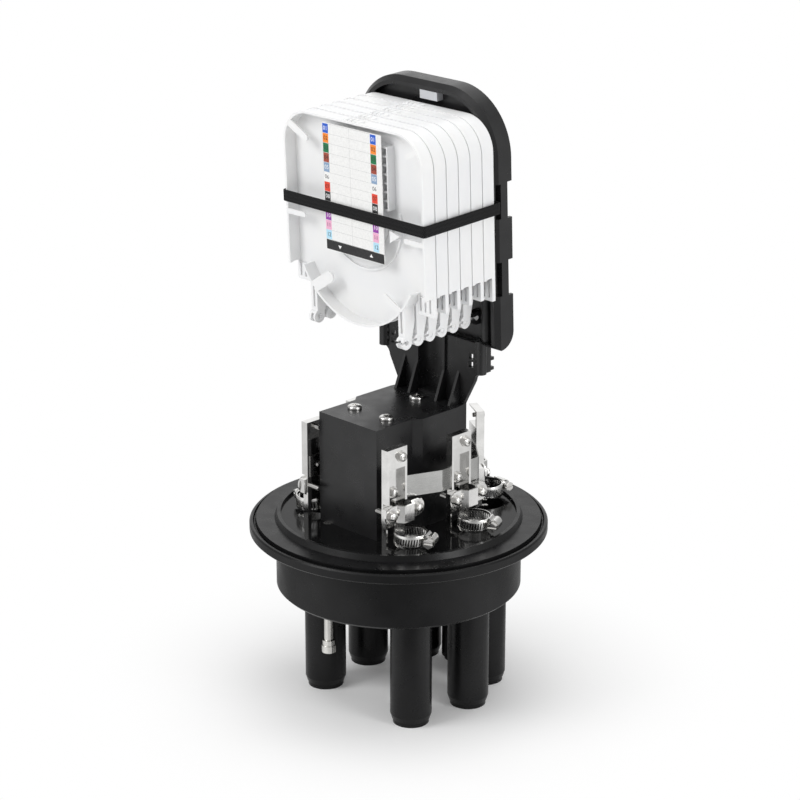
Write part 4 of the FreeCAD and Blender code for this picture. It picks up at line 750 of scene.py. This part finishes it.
def band_mesh():
    """One band about Z, the housing toward +X, its slots cut as short slanted windows."""
    mesh = bmesh.new()
    slots, per_slot = 40, 4
    count = slots * per_slot
    half = BAND["height"] / 2
    rim, web = 0.5, 2.0
    half_wall, crown, slant, covered = 0.3, 0.25, 0.055, 0.09
    levels = [-half, -half + rim, -half + web, half - web, half - rim, half]
    rims = []
    for index in range(count):
        angle = 2 * math.pi * index / count
        ring = []
        for side in (0, 1):
            for level in levels:
                bulge = crown if abs(level) < half - rim / 2 else 0.0
                r = BAND["radius"] - BAND["gauge"] / 2 + (half_wall if side else -half_wall) + bulge
                lean = slant * level / half if abs(level) < half - web / 2 else 0.0
                a = angle + lean
                ring.append(mesh.verts.new((r * math.cos(a) * MM, r * math.sin(a) * MM, level * MM)))
        rims.append(ring)
    wide = len(levels)
    for index in range(count):
        here, there = rims[index], rims[(index + 1) % count]
        open_slot = index % per_slot in (1, 2)
        hidden = abs(((index / count + 0.5) % 1.0) - 0.5) < covered
        window = open_slot and not hidden
        for level in range(wide - 1):
            if window and level == 2:
                continue
            mesh.faces.new((here[wide + level], there[wide + level],
                            there[wide + level + 1], here[wide + level + 1]))
            mesh.faces.new((here[level + 1], there[level + 1], there[level], here[level]))
        mesh.faces.new((here[0], there[0], there[wide], here[wide]))
        mesh.faces.new((here[2 * wide - 1], there[2 * wide - 1], there[wide - 1], here[wide - 1]))
        if window:
            mesh.faces.new((here[2], there[2], there[wide + 2], here[wide + 2]))
            mesh.faces.new((here[wide + 3], there[wide + 3], there[3], here[3]))
            if (index - 1) % per_slot not in (1, 2):
                mesh.faces.new((here[2], here[wide + 2], here[wide + 3], here[3]))
            if (index + 1) % per_slot not in (1, 2):
                mesh.faces.new((there[2], there[3], there[wide + 3], there[wide + 2]))
    return mesh


def housing_mesh():
    """The arched saddle over the screw, with feet that wrap the band."""
    mesh = bmesh.new()
    length, gauge = 8.6, 0.7
    arch = []
    r, height_factor, steps = 3.6, 1.16, 14
    foot_inner, foot_outer, foot = BAND["radius"] - 0.3, BAND["radius"] + 0.4, 5.0
    centre = BAND["radius"] + BAND["saddle"]
    for step in range(steps + 1):
        angle = math.radians(-120 + 240 * step / steps)
        arch.append((centre + r * math.cos(angle), r * height_factor * math.sin(angle)))
    arch = [(foot_inner, -foot), (foot_outer, -foot)] + arch + [(foot_outer, foot), (foot_inner, foot)]
    inner = []
    for index, (x, z) in enumerate(arch):
        before = arch[max(index - 1, 0)]
        after = arch[min(index + 1, len(arch) - 1)]
        dx, dz = after[0] - before[0], after[1] - before[1]
        size = math.hypot(dx, dz) or 1.0
        inner.append((x - dz / size * gauge, z + dx / size * gauge))
    near, far = -length / 2, length / 2
    rows = {}
    for key, points in (("out", arch), ("in", inner)):
        for y in (near, far):
            rows[key, y] = [mesh.verts.new((x * MM, y * MM, z * MM)) for x, z in points]
    for key in ("out", "in"):
        for corners in zip(rows[key, near], rows[key, near][1:], rows[key, far][1:], rows[key, far]):
            mesh.faces.new(corners)
    for y in (near, far):
        for corners in zip(rows["out", y], rows["out", y][1:], rows["in", y][1:], rows["in", y]):
            mesh.faces.new(corners)
    for end in (0, -1):
        mesh.faces.new((rows["out", near][end], rows["out", far][end],
                        rows["in", far][end], rows["in", near][end]))
    return mesh


def worm_mesh():
    """The worm with its slotted hexagon head, along -Y."""
    mesh = bmesh.new()
    centre = BAND["radius"] + BAND["saddle"]
    pitch, crest, root, half_length = 0.9, 2.75, 2.1, 4.6
    profile = [(0, 5.4), (2.2, 5.4), (2.6, 5.0)]
    z = half_length
    while z > -half_length:
        profile += [(crest, z), (root, z - pitch / 2)]
        z -= pitch
    profile += [(2.0, -4.8), (0, -4.8)]
    absorb(mesh, turned(profile, 20))
    head = bmesh.new()
    bmesh.ops.create_cone(head, cap_ends=True, segments=6, radius1=3.7 * MM, radius2=3.7 * MM, depth=3.4 * MM)
    bmesh.ops.bevel(head, geom=[e for e in head.edges], offset=0.25 * MM, segments=2, affect="EDGES")
    slot = bmesh.new()
    block(slot, (-5, -0.5, 0.6), (5, 0.5, 3.0))
    cut_head = carved(scratch("hex_head", head), scratch("hex_slot", slot))
    cut_head.transform(Matrix.Translation((0, 0, 6.9 * MM)))
    mesh.from_mesh(cut_head)
    bpy.data.meshes.remove(cut_head)
    mesh.transform(Matrix.Translation((centre * MM, 0, 0)) @ Matrix.Rotation(math.radians(90), 4, "X"))
    return mesh


band_blank = bpy.data.meshes.new("band_blank")
blank = band_mesh()
absorb(blank, housing_mesh())
blank.to_mesh(band_blank)
blank.free()
worm_blank = bpy.data.meshes.new("worm_blank")
blank = worm_mesh()
blank.to_mesh(worm_blank)
blank.free()
print("band faces", len(band_blank.polygons), "worm faces", len(worm_blank.polygons))

# %% Seat the six bands
for number, (matrix, flip) in enumerate(fixing_frames(), start=1):
    seat = matrix @ Matrix.Diagonal((1, flip, 1, 1)) @ \
        Matrix.Translation((BAND["u"] * MM, BAND["v"] * MM, (BAND["low"] + BAND["height"] / 2) * MM)) @ \
        Matrix.Rotation(math.radians(BAND["turn"]), 4, "Z")
    for kind, blank, finish, slot_name in (("hose_band", band_blank, band_steel, "stainless"),
                                           ("worm_screw", worm_blank, screw_steel, "screw")):
        mesh = bmesh.new()
        mesh.from_mesh(blank)
        mesh.transform(seat)
        item = piece(f"{kind}_dress_{number}", mesh, [finish], "closure_base")
        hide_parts(f"{kind}_{number}")
print("six bands seated")

# %% [markdown]
# The object stands on a white sweep. Soft boxes on both sides and above give long highlights on
# the black plastic, as in a product photograph. Three grey flags stand round the set for
# reflections alone, so that metal and polished plastic show darks between bright walls. The camera
# stands at the photograph's angle: 45
# degrees to the right of the front and 19 degrees up, with a long lens.

# %% Floor and world


def flags(tree, vector):
    """Three grey flags round the set, for reflections only: the first stands behind the camera."""
    heading = tree.nodes.new("ShaderNodeSeparateXYZ")
    tree.links.new(vector, heading.inputs["Vector"])
    bearing = calculate(tree, "ARCTAN2", heading.outputs["Y"], heading.outputs["X"])
    from_camera = calculate(tree, "ADD", bearing, math.radians(45))
    wave = calculate(tree, "COSINE", calculate(tree, "MULTIPLY", from_camera, 3.0))
    grey = tree.nodes.new("ShaderNodeMapRange")
    grey.interpolation_type = "SMOOTHSTEP"
    tree.links.new(wave, grey.inputs["Value"])
    flag_grey = 0.42
    for name, value in (("From Min", -1.0), ("From Max", 1.0), ("To Min", 1.0), ("To Max", flag_grey)):
        grey.inputs[name].default_value = value
    return grey.outputs["Result"]


def pale_floor():
    """White to the eye and to reflections, and a real floor near the ports, where it shows their shadow."""
    finish, tree, shader, place = new_finish("floor_white")
    tree.links.new(ramp(tree, noise(tree, place, 6.0), (0.95, 0.95, 0.95), (0.97, 0.97, 0.97)),
                   shader.inputs["Base Color"])
    shader.inputs["Roughness"].default_value = 0.9
    shader.inputs["Specular IOR Level"].default_value = 0.1
    output = next(node for node in tree.nodes if node.type == "OUTPUT_MATERIAL")
    path = tree.nodes.new("ShaderNodeLightPath")
    glow = tree.nodes.new("ShaderNodeEmission")
    mix = tree.nodes.new("ShaderNodeMixShader")
    seen = calculate(tree, "MAXIMUM", path.outputs["Is Camera Ray"], path.outputs["Is Glossy Ray"])
    seen = calculate(tree, "MAXIMUM", seen, path.outputs["Is Transmission Ray"])
    reach = tree.nodes.new("ShaderNodeVectorMath")
    reach.operation = "LENGTH"
    tree.links.new(place, reach.inputs[0])
    spread = tree.nodes.new("ShaderNodeMapRange")
    spread.interpolation_type = "SMOOTHSTEP"
    tree.links.new(reach.outputs["Value"], spread.inputs["Value"])
    shadow_start, shadow_end, least_glow = 0.05, 0.24, 0.1
    for name, value in (("From Min", shadow_start), ("From Max", shadow_end),
                        ("To Min", least_glow), ("To Max", 1.0)):
        spread.inputs[name].default_value = value
    tree.links.new(calculate(tree, "MULTIPLY", seen, spread.outputs["Result"]), mix.inputs["Fac"])
    reflected = calculate(tree, "MULTIPLY", path.outputs["Is Glossy Ray"], flags(tree, place))
    eye = calculate(tree, "MAXIMUM", path.outputs["Is Camera Ray"], path.outputs["Is Transmission Ray"])
    tree.links.new(calculate(tree, "MAXIMUM", reflected, eye), glow.inputs["Strength"])
    tree.links.new(shader.outputs["BSDF"], mix.inputs[1])
    tree.links.new(glow.outputs["Emission"], mix.inputs[2])
    tree.links.new(mix.outputs["Shader"], output.inputs["Surface"])
    return finish


mesh = bmesh.new()
bmesh.ops.create_grid(mesh, x_segments=1, y_segments=1, size=6.0)
data = bpy.data.meshes.new("floor")
mesh.to_mesh(data)
mesh.free()
data.materials.append(pale_floor())
floor = bpy.data.objects.new("floor", data)
bpy.context.scene.collection.objects.link(floor)

world = bpy.data.worlds.new("studio")
bpy.context.scene.world = world
world.use_nodes = True
tree = world.node_tree
background = next(node for node in tree.nodes if node.type == "BACKGROUND")
path = tree.nodes.new("ShaderNodeLightPath")
direction = tree.nodes.new("ShaderNodeTexCoord")
around = flags(tree, direction.outputs["Generated"])
reflected = calculate(tree, "MULTIPLY", path.outputs["Is Glossy Ray"], around)
AMBIENT = 0.55
soft = calculate(tree, "MULTIPLY", path.outputs["Is Diffuse Ray"], AMBIENT)
strength = calculate(tree, "ADD", calculate(tree, "ADD", reflected, soft), path.outputs["Is Camera Ray"])
strength = calculate(tree, "ADD", strength, path.outputs["Is Transmission Ray"], clamp=True)
background.inputs["Color"].default_value = (1, 1, 1, 1)
tree.links.new(strength, background.inputs["Strength"])
print("floor and world ready")

# %% Soft boxes


def soft_box(name, place, aim, size, power):
    light = bpy.data.lights.new(name, "AREA")
    light.shape = "RECTANGLE"
    light.size, light.size_y = size
    light.energy = power
    lamp = bpy.data.objects.new(name, light)
    lamp.location = place
    lamp.rotation_euler = (Vector(aim) - Vector(place)).to_track_quat("-Z", "Y").to_euler()
    bpy.context.scene.collection.objects.link(lamp)
    return lamp


soft_box("key_box", (-0.5, -1.3, 1.25), (0, 0, 0.25), (0.8, 0.8), 12.5)
soft_box("side_box", (1.5, 0.15, 0.75), (0, 0, 0.22), (0.5, 1.1), 7.5)
soft_box("top_box", (0.1, 0.2, 1.7), (0, 0, 0.3), (1.2, 1.2), 7.0)
print("three soft boxes")

# %% Camera
azimuth, elevation, distance = math.radians(45.33), math.radians(19.38), 1.7901
AIM_RIGHT, AIM_HEIGHT = 0.97, 217.6
back = Vector((math.sin(azimuth) * math.cos(elevation), -math.cos(azimuth) * math.cos(elevation),
               math.sin(elevation)))
target = Vector((AIM_RIGHT * math.cos(azimuth), AIM_RIGHT * math.sin(azimuth), AIM_HEIGHT)) * MM
lens = bpy.data.cameras.new("photo_camera")
lens.lens = 117.33
lens.sensor_width = 36.0
lens.clip_start = 0.05
camera = bpy.data.objects.new("photo_camera", lens)
camera.location = target + back * distance
camera.rotation_euler = (-back).to_track_quat("-Z", "Y").to_euler()
bpy.context.scene.collection.objects.link(camera)
bpy.context.scene.camera = camera
bpy.context.scene.view_settings.view_transform = "Standard"
print("camera at", [round(value, 3) for value in camera.location])
